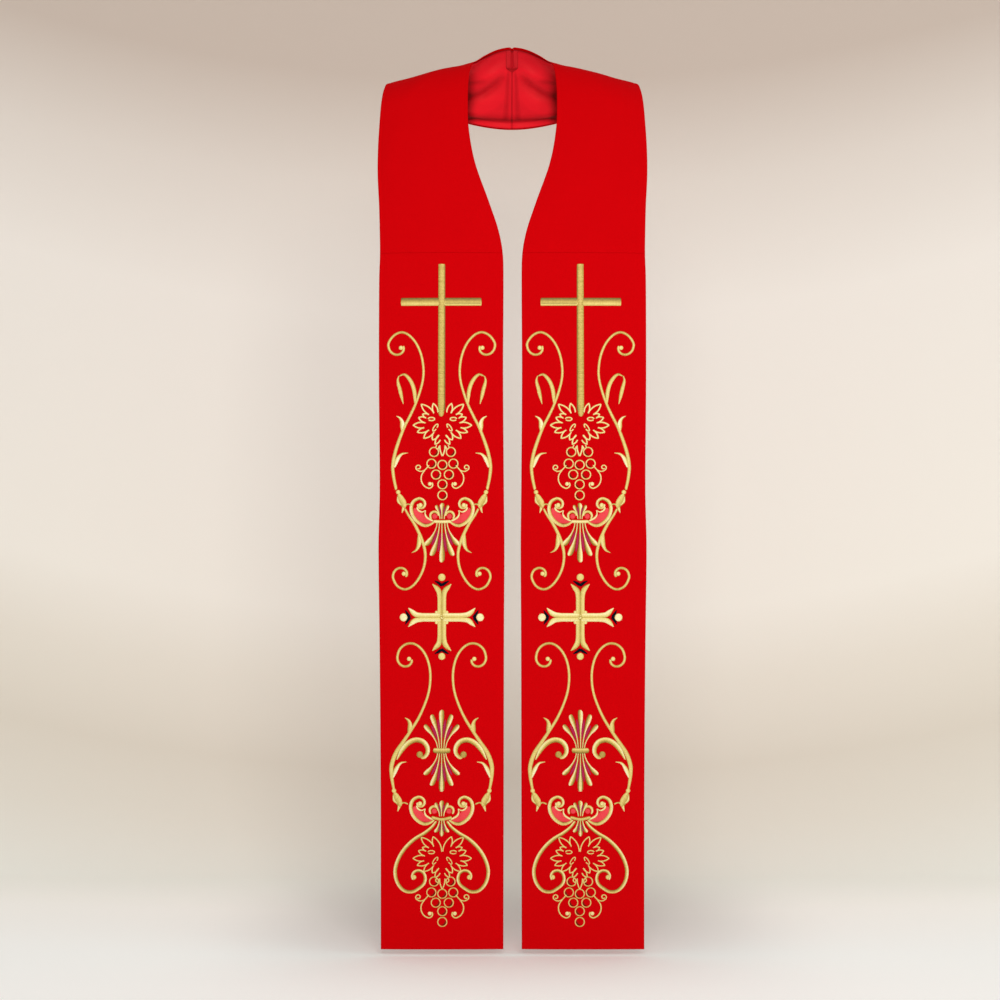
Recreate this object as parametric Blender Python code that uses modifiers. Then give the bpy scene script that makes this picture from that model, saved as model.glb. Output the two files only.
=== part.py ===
"""Clerical stole, worn and hollow, with its fronts hanging straight.

Metres in the scene, millimetres in the tables below. +Z is up, the fronts face -Y and the garment is
mirrored in X. The origin lies midway between the two points where the shoulders meet the neck.

The outer cloth's visible face is one surface, a function of two parameters: a length along the middle of
the band from the centre back seam to the hem, and a fraction across it from the neck edge to the outer
edge. Every piece is a stretch of that surface, moved in by the layers outside it.
"""
from collections import namedtuple

import bmesh
import bpy
import numpy as np

MM = 0.001

# Driving dimensions, in millimetres.
OUTER_WALL = 1.5          # red outer cloth with its interfacing
LINING_WALL = 1.0         # satin lining
SEAM_GAP = 0.3            # between two pieces that are sewn together
LINING_SET_IN = 3.0       # the lining stops this far inside each edge of the outer cloth
LINING_COLUMNS = 6        # strips across the lining, and across the outer cloth between its two edge strips
SQUARE_END = 1.5          # the last strip at a piece's end is this long, which keeps the wall's end square
TANGENT_STEP = 0.5        # half the length over which a direction on the surface is measured
EDGE_STEP = 0.004         # the same across the band, as a fraction of its width

LOOP_WALL = 1.0           # hanger loop: tape thickness
LOOP_TAPE_WIDTH = 8.0     # width of the tape
LOOP_LEG_SPACING = 10.0   # between the middles of its two legs
LOOP_TOP = 4.5            # from the neck edge to the sewn ends
LOOP_DROP = 22.0          # from the sewn ends down to where the tape starts to turn
LOOP_LEG_STEPS = 4
LOOP_TURN_STEPS = 10

# Each row is one line across the band, from its neck edge to its outer edge, and how far the middle of
# that line stands away from the body. The first row is the centre back seam and the last is the hem.
Station = namedtuple("Station", "name neck_x neck_y neck_z outer_x outer_y outer_z crown")
STATIONS = (
    Station("centre back", 0.0, 62.0, 32.0, 0.0, 100.0, -76.0, -4.0),
    Station("back of neck", 19.5, 57.5, 28.3, 63.3, 92.7, -68.0, -4.0),
    Station("shoulder blade", 36.8, 43.8, 18.2, 119.5, 70.7, -49.5, -2.0),
    Station("behind shoulder", 48.0, 23.2, 6.8, 156.0, 37.5, -34.5, 0.5),
    Station("shoulder line", 52.5, 0.0, 0.0, 168.0, 0.0, -28.0, 2.0),
    Station("shoulder front", 55.8, -20.0, -9.0, 171.8, -22.0, -37.5, 3.0),
    Station("shoulder roll", 58.2, -39.5, -29.0, 174.6, -40.0, -57.0, 3.5),
    Station("collar bone", 59.0, -55.0, -57.0, 176.5, -53.0, -86.0, 4.0),
    Station("upper chest", 57.6, -71.0, -97.0, 177.9, -66.0, -122.0, 4.5),
    Station("chest", 49.2, -86.0, -144.0, 177.8, -77.5, -160.0, 5.0),
    Station("neck opening", 31.3, -97.5, -196.0, 175.5, -88.0, -203.0, 5.0),
    Station("foot of opening", 18.4, -103.0, -235.0, 174.4, -94.0, -237.0, 4.5),
    Station("cross seam", 12.8, -105.5, -265.0, 173.9, -97.5, -265.0, 4.0),
    Station("top of front", 11.8, -106.5, -300.0, 174.8, -100.0, -300.0, 3.5),
    Station("upper front", 12.3, -106.5, -420.0, 175.0, -104.0, -420.0, 2.5),
    Station("waist", 11.3, -105.5, -576.0, 173.8, -106.0, -576.0, 2.0),
    Station("below waist", 10.6, -105.0, -650.0, 175.4, -105.5, -650.0, 2.5),
    Station("thigh", 11.2, -104.5, -780.0, 174.0, -104.0, -780.0, 3.0),
    Station("knee", 11.5, -104.5, -960.0, 172.6, -104.5, -960.0, 2.5),
    Station("hem", 12.0, -105.0, -1176.0, 172.3, -105.5, -1176.0, 2.0),
)
CROSS_SEAM_ROW = 12

# How closely the rows of faces follow each other, up to a length along the band.
Zone = namedtuple("Zone", "until_row step")
ZONES = (
    Zone(7, 9.0),
    Zone(12, 17.0),
    Zone(13, 18.0),
    Zone(19, 58.0),
)

Finish = namedtuple("Finish", "name colour roughness sheen")
OUTER_CLOTH = Finish("red outer cloth", (0.610, 0.003, 0.004), 0.75, 0.3)
SATIN = Finish("red satin lining", (0.760, 0.012, 0.022), 0.35, 0.1)
TAPE = Finish("red tape", (0.560, 0.008, 0.016), 0.55, 0.1)

NECK_LINE = np.array([(row.neck_x, row.neck_y, row.neck_z) for row in STATIONS])
OUTER_LINE = np.array([(row.outer_x, row.outer_y, row.outer_z) for row in STATIONS])
CROWN = np.array([row.crown for row in STATIONS])
MIRROR_X = np.array((-1.0, 1.0, 1.0))


def row_lengths():
    """Return each row's distance from the centre back seam, along the middle of the band."""
    middle = (NECK_LINE + OUTER_LINE) / 2
    steps = np.linalg.norm(np.diff(middle, axis=0), axis=1)
    return np.concatenate([[0.0], np.cumsum(steps)])


ROW_LENGTHS = row_lengths()
SEAM_LENGTH = ROW_LENGTHS[CROSS_SEAM_ROW]
HEM_LENGTH = ROW_LENGTHS[-1]


def smooth(values, mirrored_first, length):
    """Read a smooth curve through the rows' values at the given lengths.

    Each row's slope is that of the line between its two neighbours. The row before the first is its
    mirror image across the centre back seam.
    """
    neighbours = np.concatenate([[mirrored_first], values, [values[-1]]])
    places = np.concatenate([[-ROW_LENGTHS[1]], ROW_LENGTHS, [ROW_LENGTHS[-1]]])
    rise = neighbours[2:] - neighbours[:-2]
    run = places[2:] - places[:-2]
    slopes = (rise.T / run).T
    row = np.clip(np.searchsorted(ROW_LENGTHS, length, side="right") - 1, 0, len(ROW_LENGTHS) - 2)
    span = ROW_LENGTHS[row + 1] - ROW_LENGTHS[row]
    part = (length - ROW_LENGTHS[row]) / span
    if values.ndim > 1:
        span = span[..., None]
        part = part[..., None]
    from_row = values[row] * (1 + 2 * part) * (1 - part) ** 2 + slopes[row] * span * part * (1 - part) ** 2
    to_next = values[row + 1] * (3 - 2 * part) * part**2 - slopes[row + 1] * span * (1 - part) * part**2
    return from_row + to_next


def ruled(length, across):
    """Return points on the straight lines across the band, before they are crowned."""
    neck = smooth(NECK_LINE, NECK_LINE[1] * MIRROR_X, length)
    outer = smooth(OUTER_LINE, OUTER_LINE[1] * MIRROR_X, length)
    return neck + (outer - neck) * across[..., None]


def facing(point_at, length, across):
    """Return the unit vectors that face away from the body, for a surface given as a function."""
    along = point_at(length + TANGENT_STEP, across) - point_at(length - TANGENT_STEP, across)
    over = point_at(length, across + EDGE_STEP) - point_at(length, across - EDGE_STEP)
    normal = np.cross(along, over)
    return normal / np.linalg.norm(normal, axis=-1, keepdims=True)


def mirrored(point_at):
    """Continue a surface past the centre back seam as its own mirror image."""

    def both_sides(length, across):
        side = np.where(length < 0, -1.0, 1.0)
        point = point_at(np.abs(length), across)
        return np.concatenate([point[..., :1] * side[..., None], point[..., 1:]], axis=-1)

    return both_sides


ruled_both = mirrored(ruled)


def half_face(length, across):
    """Return points on the visible face of the +X half of the outer cloth."""
    lift = smooth(CROWN, CROWN[1], length) * 4 * across * (1 - across)
    return ruled(length, across) + facing(ruled_both, length, across) * lift[..., None]


visible_face = mirrored(half_face)


def band_width(length):
    """Return the straight distance across the band."""
    neck = smooth(NECK_LINE, NECK_LINE[1] * MIRROR_X, length)
    outer = smooth(OUTER_LINE, OUTER_LINE[1] * MIRROR_X, length)
    return np.linalg.norm(outer - neck, axis=-1)


def zone_lengths():
    """Return the lengths of all rows of faces between the centre back seam and the hem."""
    lengths = []
    start = 0.0
    for zone in ZONES:
        end = ROW_LENGTHS[zone.until_row]
        steps = max(1, round((end - start) / zone.step))
        lengths.extend(np.linspace(start, end, steps, endpoint=False))
        start = end
    return np.array(lengths[1:])


def piece_lengths(start, end):
    """Return the lengths of a piece's rows, with a short strip at each of its two ends."""
    inside = zone_lengths()
    margin = 2 * SQUARE_END
    inside = inside[(inside > start + margin) & (inside < end - margin)]
    return np.concatenate([[start, start + SQUARE_END], inside, [end - SQUARE_END, end]])


def cloth_grid(start, end, depth, to_edges):
    """Return a grid of points on the surface that lies a depth inside the visible face."""
    lengths = piece_lengths(start, end)
    inset = LINING_SET_IN / band_width(lengths)
    fractions = np.linspace(0.0, 1.0, LINING_COLUMNS + 1)
    columns = [inset + (1 - 2 * inset) * fraction for fraction in fractions]
    if to_edges:
        columns = [np.zeros_like(inset)] + columns + [np.ones_like(inset)]
    across = np.stack(columns, axis=1)
    along = np.repeat(lengths[:, None], across.shape[1], axis=1)
    return visible_face(along, across) - facing(visible_face, along, across) * depth


def mesh_from_grid(name, grid, side):
    """Make an open mesh from a grid of points, mirrored where side is -1, facing away from the body."""
    mesh = bpy.data.meshes.new(name)
    shell = bmesh.new()
    points = grid * np.array((side, 1.0, 1.0)) * MM
    rows = [[shell.verts.new(point) for point in row] for row in points]
    for lower, upper in zip(rows, rows[1:]):
        for column in range(len(lower) - 1):
            corners = [lower[column], upper[column], upper[column + 1], lower[column + 1]]
            shell.faces.new(corners if side > 0 else corners[::-1])
    shell.to_mesh(mesh)
    shell.free()
    return mesh


def make_material(finish):
    """Make a Principled material for a finish."""
    material = bpy.data.materials.new(finish.name)
    material.use_nodes = True
    shader = material.node_tree.nodes["Principled BSDF"]
    shader.inputs["Base Color"].default_value = (*finish.colour, 1.0)
    shader.inputs["Roughness"].default_value = finish.roughness
    shader.inputs["Metallic"].default_value = 0.0
    shader.inputs["Sheen Weight"].default_value = finish.sheen
    return material


def add_cloth(collection, name, grid, side, wall, material):
    """Add a piece of cloth: an open surface with a wall built inwards from it."""
    piece = bpy.data.objects.new(name, mesh_from_grid(name, grid, side))
    piece.data.materials.append(material)
    collection.objects.link(piece)
    thickness = piece.modifiers.new("cloth wall", "SOLIDIFY")
    thickness.thickness = wall * MM
    thickness.offset = -1.0
    thickness.use_even_offset = True
    thickness.use_quality_normals = True
    return piece


def loop_outline():
    """Return the hanger loop's tape, leg, turn and leg, as rows of (x, drop) from its inner edge out."""
    radius = LOOP_LEG_SPACING / 2
    foot = LOOP_TOP + LOOP_DROP
    down = np.linspace(LOOP_TOP, foot, LOOP_LEG_STEPS, endpoint=False)
    angle = np.linspace(0.0, np.pi, LOOP_TURN_STEPS + 1)
    edges = []
    for reach in (radius - LOOP_TAPE_WIDTH / 2, radius, radius + LOOP_TAPE_WIDTH / 2):
        x = np.concatenate([np.full_like(down, -reach), -reach * np.cos(angle), np.full_like(down, reach)])
        drop = np.concatenate([down, foot + reach * np.sin(angle), down[::-1]])
        edges.append(np.stack([x, drop], axis=1))
    return np.stack(edges, axis=1)


def loop_grid():
    """Lay the hanger loop's tape on the inside of the lining, across the centre back seam."""
    outline = loop_outline()
    depth = OUTER_WALL + SEAM_GAP + LINING_WALL + SEAM_GAP
    reach = np.linspace(-60.0, 60.0, 121)
    width = band_width(np.zeros(1))[0]
    grid = np.empty(outline.shape[:2] + (3,))
    for index in np.ndindex(outline.shape[:2]):
        x, drop = outline[index]
        across = np.full_like(reach, drop / width)
        line = visible_face(reach, across) - facing(visible_face, reach, across) * depth
        grid[index] = (x, np.interp(x, line[:, 0], line[:, 1]), np.interp(x, line[:, 0], line[:, 2]))
    return grid


def main():
    """Build the stole's seven pieces."""
    for thing in list(bpy.data.objects):
        bpy.data.objects.remove(thing, do_unlink=True)
    stole = bpy.data.collections.new("clerical_stole")
    bpy.context.scene.collection.children.link(stole)
    outer_cloth = make_material(OUTER_CLOTH)
    satin = make_material(SATIN)
    tape = make_material(TAPE)

    half_gap = SEAM_GAP / 2
    neck = cloth_grid(half_gap, SEAM_LENGTH - half_gap, 0.0, True)
    front = cloth_grid(SEAM_LENGTH + half_gap, HEM_LENGTH, 0.0, True)
    lining = cloth_grid(half_gap, HEM_LENGTH - LINING_SET_IN, OUTER_WALL + SEAM_GAP, False)
    for side, hand in ((1, "left"), (-1, "right")):
        add_cloth(stole, "neck_piece_" + hand, neck, side, OUTER_WALL, outer_cloth)
        add_cloth(stole, "front_panel_" + hand, front, side, OUTER_WALL, outer_cloth)
        add_cloth(stole, "lining_" + hand, lining, side, LINING_WALL, satin)
    add_cloth(stole, "hanger_loop", loop_grid(), 1, LOOP_WALL, tape)


main()
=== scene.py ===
"""Clerical stole, worn and hollow: red cloth, satin lining, a hanger loop and gold thread embroidery.

Sizes are in millimetres and become metres as they enter a mesh. +Z is up, the fronts face -Y and the
wearer's left is +X. The cloth lies on one surface, the same as the solids': a function of a length along
the middle of the band, from the centre back seam to the hem, and a fraction across it, from the neck
edge to the outer edge.
"""
from __future__ import annotations

import logging
import math
from dataclasses import dataclass, field
from enum import Enum
from typing import Callable, NamedTuple

import bpy
import numpy as np
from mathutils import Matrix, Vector


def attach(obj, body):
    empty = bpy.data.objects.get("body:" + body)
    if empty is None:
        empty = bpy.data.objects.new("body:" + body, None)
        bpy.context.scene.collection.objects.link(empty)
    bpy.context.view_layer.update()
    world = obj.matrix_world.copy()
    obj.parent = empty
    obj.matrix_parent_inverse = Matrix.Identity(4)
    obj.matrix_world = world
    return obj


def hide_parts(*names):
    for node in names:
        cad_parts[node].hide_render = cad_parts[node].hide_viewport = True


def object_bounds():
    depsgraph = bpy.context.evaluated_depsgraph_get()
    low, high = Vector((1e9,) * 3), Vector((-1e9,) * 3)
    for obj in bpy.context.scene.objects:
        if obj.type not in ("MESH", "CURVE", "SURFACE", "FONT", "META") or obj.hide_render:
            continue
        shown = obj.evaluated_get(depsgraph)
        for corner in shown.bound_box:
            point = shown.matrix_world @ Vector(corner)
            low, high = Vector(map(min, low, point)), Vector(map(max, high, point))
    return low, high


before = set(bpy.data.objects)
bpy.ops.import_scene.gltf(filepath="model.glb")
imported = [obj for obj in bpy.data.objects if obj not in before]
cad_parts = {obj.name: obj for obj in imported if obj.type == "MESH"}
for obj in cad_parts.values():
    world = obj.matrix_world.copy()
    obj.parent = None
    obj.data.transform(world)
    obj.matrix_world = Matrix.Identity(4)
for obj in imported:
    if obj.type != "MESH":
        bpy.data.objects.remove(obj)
CAD_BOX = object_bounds()

LOG = logging.getLogger("stole")
MM = 0.001
FAR = 1000.0
Surface = Callable[[np.ndarray, np.ndarray], np.ndarray]


# ---------------------------------------------------------------- curves and meshes

def read_curve(values: np.ndarray, knots: np.ndarray, at: np.ndarray,
               before: tuple[float, np.ndarray] | None = None) -> np.ndarray:
    """Read a smooth curve through values at knots.

    The slope at each value is that of the line between its two neighbours, and between values the curve
    is the cubic with those slopes.

    Args:
        values: one row of numbers for each knot.
        knots: increasing places of the values.
        at: places to read.
        before: place and value of one more neighbour ahead of the first value.

    Returns:
        The curve's values, one row for each place.
    """
    first_place, first_value = before if before else (knots[0], values[0])
    neighbours = np.concatenate([[first_value], values, [values[-1]]])
    places = np.concatenate([[first_place], knots, [knots[-1]]])
    slopes = ((neighbours[2:] - neighbours[:-2]).T / (places[2:] - places[:-2])).T
    row = np.clip(np.searchsorted(knots, at, side="right") - 1, 0, len(knots) - 2)
    span = knots[row + 1] - knots[row]
    part = (at - knots[row]) / span
    if values.ndim > 1:
        span, part = span[..., None], part[..., None]
    rest = 1 - part
    start = values[row] * (1 + 2 * part) * rest**2 + slopes[row] * span * part * rest**2
    end = values[row + 1] * (3 - 2 * part) * part**2 - slopes[row + 1] * span * rest * part**2
    return start + end


def chain_lengths(points: np.ndarray) -> np.ndarray:
    """Return each point's distance from the first, along the straight lines between them."""
    return np.concatenate([[0.0], np.cumsum(np.linalg.norm(np.diff(points, axis=0), axis=1))])


def bell(distance: np.ndarray, reach: float, middle: float | np.ndarray = 0.0, power: int = 2) -> np.ndarray:
    """Return a bell curve: 1 at its middle, 1/e a reach away from it, flatter with a higher even power."""
    return np.exp(-(((distance - middle) / reach) ** power))


def rounded(away: np.ndarray, reach: float) -> np.ndarray:
    """Return a quarter circle, which climbs from 0 at an edge to 1 a reach away from it."""
    return np.sqrt(1 - (1 - np.clip(away / reach, 0, 1)) ** 2)


def arc(middle: tuple[float, float], wide: float | np.ndarray, high: float | np.ndarray,
        angles: np.ndarray) -> np.ndarray:
    """Return places at angles round an ellipse, or round a spiral where its two radii change."""
    return np.array(middle) + np.stack([wide * np.cos(angles), high * np.sin(angles)], axis=1)


def evenly(points: np.ndarray, pitch: float) -> np.ndarray:
    """Walk along a chain of points in equal steps.

    Args:
        points: the chain's points.
        pitch: about how long each step is.

    Returns:
        The points at the steps' ends.
    """
    lengths = chain_lengths(points)
    steps = max(4, round(lengths[-1] / pitch))
    at = np.linspace(0.0, lengths[-1], steps + 1)
    return np.stack([np.interp(at, lengths, points[:, axis]) for axis in range(points.shape[1])], axis=1)


def slab_faces(rows: int, columns: int) -> np.ndarray:
    """Number the faces of a closed slab, made of an upper and a lower grid that share their rim.

    Args:
        rows: points along the grid.
        columns: points across it.

    Returns:
        Corner numbers of the four-sided faces.
    """
    upper = np.arange(rows * columns).reshape(rows, columns)
    lower = upper.copy()
    lower[1:-1, 1:-1] = rows * columns + np.arange((rows - 2) * (columns - 2)).reshape(rows - 2, columns - 2)

    def squares(grid: np.ndarray) -> np.ndarray:
        """Return the corners of each square of a grid."""
        corners = [grid[:-1, :-1], grid[1:, :-1], grid[1:, 1:], grid[:-1, 1:]]
        return np.stack(corners, axis=-1).reshape(-1, 4)

    return np.concatenate([squares(upper), squares(lower)[:, ::-1]])


def slab_points(upper: np.ndarray, lower: np.ndarray) -> np.ndarray:
    """List a slab's points in the order that slab_faces numbers them."""
    last = upper.shape[-1]
    return np.concatenate([upper.reshape(-1, last), lower[1:-1, 1:-1].reshape(-1, last)])


@dataclass
class MeshData:
    """Points, four-sided faces and what is written on them, ready to become one mesh."""

    points: np.ndarray
    faces: np.ndarray
    chart: np.ndarray
    values: dict[str, np.ndarray] = field(default_factory=dict)
    slots: np.ndarray | None = None

    def build(self, name: str, materials: list[bpy.types.Material]) -> bpy.types.Object:
        """Make the object.

        Args:
            name: the piece's name.
            materials: its material slots.

        Returns:
            The object, smooth shaded, with its UV map and its point values.
        """
        mesh = bpy.data.meshes.new(name)
        corners = self.faces.ravel().astype(np.int32)
        starts = np.arange(0, len(corners), self.faces.shape[1], dtype=np.int32)
        mesh.vertices.add(len(self.points))
        mesh.vertices.foreach_set("co", (self.points * MM).astype(np.float32).ravel())
        mesh.loops.add(len(corners))
        mesh.loops.foreach_set("vertex_index", corners)
        mesh.polygons.add(len(starts))
        mesh.polygons.foreach_set("loop_start", starts)
        if self.slots is not None:
            mesh.polygons.foreach_set("material_index", self.slots.astype(np.int32))
        mesh.update(calc_edges=True)
        chart = mesh.uv_layers.new(name="cloth")
        chart.uv.foreach_set("vector", (self.chart[corners] * MM).astype(np.float32).ravel())
        for label, numbers in self.values.items():
            written = mesh.attributes.new(label, "FLOAT", "POINT")
            written.data.foreach_set("value", numbers.astype(np.float32))
        mesh.shade_smooth()
        for material in materials:
            mesh.materials.append(material)
        piece = bpy.data.objects.new(name, mesh)
        bpy.context.scene.collection.objects.link(piece)
        return piece


# ---------------------------------------------------------------- the worn form

class Station(NamedTuple):
    """One line across the band, and how far its middle stands away from the body."""

    name: str
    neck_x: float
    neck_y: float
    neck_z: float
    outer_x: float
    outer_y: float
    outer_z: float
    crown: float


STATIONS = (
    Station("centre back", 0.0, 62.0, 32.0, 0.0, 100.0, -76.0, -4.0),
    Station("back of neck", 19.5, 57.5, 28.3, 63.3, 92.7, -68.0, -4.0),
    Station("shoulder blade", 36.8, 43.8, 18.2, 119.5, 70.7, -49.5, -2.0),
    Station("behind shoulder", 48.0, 23.2, 6.8, 156.0, 37.5, -34.5, 0.5),
    Station("shoulder line", 52.5, 0.0, 0.0, 168.0, 0.0, -28.0, 2.0),
    Station("shoulder front", 55.8, -20.0, -9.0, 171.8, -22.0, -37.5, 3.0),
    Station("shoulder roll", 58.2, -39.5, -29.0, 174.6, -40.0, -57.0, 3.5),
    Station("collar bone", 59.0, -55.0, -57.0, 176.5, -53.0, -86.0, 4.0),
    Station("upper chest", 57.6, -71.0, -97.0, 177.9, -66.0, -122.0, 4.5),
    Station("chest", 49.2, -86.0, -144.0, 177.8, -77.5, -160.0, 5.0),
    Station("neck opening", 31.3, -97.5, -196.0, 175.5, -88.0, -203.0, 5.0),
    Station("foot of opening", 18.4, -103.0, -235.0, 174.4, -94.0, -237.0, 4.5),
    Station("cross seam", 12.8, -105.5, -265.0, 173.9, -97.5, -265.0, 4.0),
    Station("top of front", 11.8, -106.5, -300.0, 174.8, -100.0, -300.0, 3.5),
    Station("upper front", 12.3, -106.5, -420.0, 175.0, -104.0, -420.0, 2.5),
    Station("waist", 11.3, -105.5, -576.0, 173.8, -106.0, -576.0, 2.0),
    Station("below waist", 10.6, -105.0, -650.0, 175.4, -105.5, -650.0, 2.5),
    Station("thigh", 11.2, -104.5, -780.0, 174.0, -104.0, -780.0, 3.0),
    Station("knee", 11.5, -104.5, -960.0, 172.6, -104.5, -960.0, 2.5),
    Station("hem", 12.0, -105.0, -1176.0, 172.3, -105.5, -1176.0, 2.0),
)
CROSS_SEAM_ROW = 12


class Fold(NamedTuple):
    """A soft ridge, or a trough where its rise is negative, between two places on the band.

    A place is a length along the band and a distance from the neck edge. The rise falls off to each side
    as a bell curve of the fold's width, and fades out past the fold's two ends.
    """

    name: str
    start: tuple[float, float]
    end: tuple[float, float]
    width: float
    rise: float


# Folds that both halves share, then those of the wearer's left half and of the right half.
SHARED_FOLDS = (
    Fold("roll above the back's lower edge", (-40.0, 104.0), (40.0, 104.0), 5.5, 3.2),
    Fold("slant fold beside the nape", (50.0, 76.0), (17.0, 44.0), 7.0, 3.4),
    Fold("hollow under the nape", (30.0, 92.0), (52.0, 98.0), 8.0, -1.6),
    Fold("hollow over the slant fold", (26.0, 30.0), (40.0, 42.0), 9.0, -1.8),
    Fold("neck edge stands up", (120.0, 4.0), (165.0, 5.0), 9.0, 1.0),
)
LEFT_FOLDS = (
    Fold("drag from the neck", (155.0, 30.0), (215.0, 75.0), 13.0, 1.1),
    Fold("drag over the shoulder", (120.0, 60.0), (175.0, 105.0), 14.0, -1.0),
    Fold("break below the shoulder", (230.0, 100.0), (330.0, 125.0), 18.0, 0.9),
    Fold("ease above the seam", (350.0, 60.0), (425.0, 45.0), 16.0, -0.7),
    Fold("upper wave", (470.0, 112.0), (760.0, 122.0), 22.0, 0.8),
    Fold("middle hollow", (640.0, 40.0), (930.0, 52.0), 24.0, -0.7),
    Fold("lower wave", (900.0, 120.0), (1230.0, 104.0), 24.0, 0.9),
    Fold("hem flare", (1130.0, 38.0), (1340.0, 30.0), 20.0, 0.8),
)
RIGHT_FOLDS = (
    Fold("drag from the neck", (150.0, 34.0), (205.0, 84.0), 12.0, 1.2),
    Fold("drag over the shoulder", (115.0, 52.0), (168.0, 98.0), 15.0, -1.1),
    Fold("break below the shoulder", (240.0, 92.0), (318.0, 118.0), 16.0, 1.0),
    Fold("ease above the seam", (365.0, 70.0), (430.0, 58.0), 15.0, -0.6),
    Fold("upper wave", (500.0, 40.0), (745.0, 48.0), 21.0, 0.8),
    Fold("middle hollow", (660.0, 118.0), (905.0, 108.0), 22.0, -0.8),
    Fold("lower wave", (940.0, 44.0), (1240.0, 58.0), 25.0, 0.8),
    Fold("hem flare", (1160.0, 122.0), (1340.0, 132.0), 19.0, 0.9),
)

# The satin's own folds inside the back of the neck, then how much painted shade each lays on it; a negative
# share is painted light.
NAPE_FOLDS = (
    Fold("upper roll", (10.0, 26.0), (64.0, 43.0), 8.5, 2.6),
    Fold("lower roll", (16.0, 66.0), (40.0, 92.0), 11.0, 2.6),
    Fold("trough", (17.0, 42.0), (36.0, 60.0), 4.5, -1.4),
    Fold("level trough", (36.0, 60.0), (62.0, 75.0), 4.0, -2.0),
)
NAPE_SHADES = (
    Fold("trough", (17.0, 42.0), (36.0, 60.0), 6.8, 0.26),
    Fold("level trough", (38.0, 63.0), (62.0, 75.0), 6.6, 0.36),
    Fold("small trough", (46.0, 46.0), (66.0, 49.0), 3.6, 0.26),
    Fold("upper roll", (12.0, 32.0), (50.0, 40.0), 6.0, -0.2),
    Fold("lower roll", (16.0, 68.0), (44.0, 92.0), 9.0, -0.26),
)


class Ridge(NamedTuple):
    """A soft ridge, or a trough where its rise is negative, that lies across one distance."""

    rise: float
    reach: float
    middle: float = 0.0
    power: int = 2

    def at(self, distance: np.ndarray) -> np.ndarray:
        """Return the rise at a distance, a bell curve about the ridge's middle."""
        return self.rise * bell(distance, self.reach, self.middle, self.power)


class Side(Enum):
    """The wearer's left half, at +X, and right half, at -X."""

    LEFT = 1
    RIGHT = -1

    @property
    def hand(self) -> str:
        """Return the half's name for its pieces."""
        return self.name.lower()

    @property
    def folds(self) -> tuple[Fold, ...]:
        """Return the folds of this half."""
        return SHARED_FOLDS + (LEFT_FOLDS if self is Side.LEFT else RIGHT_FOLDS)


# A fold's rise at its two ends, and what a half sine wave adds to it between them, as shares of its rise.
FOLD_END, FOLD_SWELL = 0.55, 0.45


def bells(folds: tuple[Fold, ...], place: np.ndarray) -> np.ndarray:
    """Add up soft folds.

    A fold's rise at a place is its full rise times a bell curve of the place's distance from the line
    between the fold's ends; it fades to about half towards the ends.

    Args:
        folds: the folds.
        place: lengths along the band and distances across it, in the last axis.

    Returns:
        The sum of the rises at each place.
    """
    total = np.zeros(place.shape[:-1])
    for fold in folds:
        start, end = np.array(fold.start), np.array(fold.end)
        line = end - start
        part = np.clip(((place - start) @ line) / (line @ line), 0.0, 1.0)
        away = np.linalg.norm(place - start - part[..., None] * line, axis=-1)
        total += fold.rise * bell(away, fold.width) * (FOLD_END + FOLD_SWELL * np.sin(np.pi * part))
    return total


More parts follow.
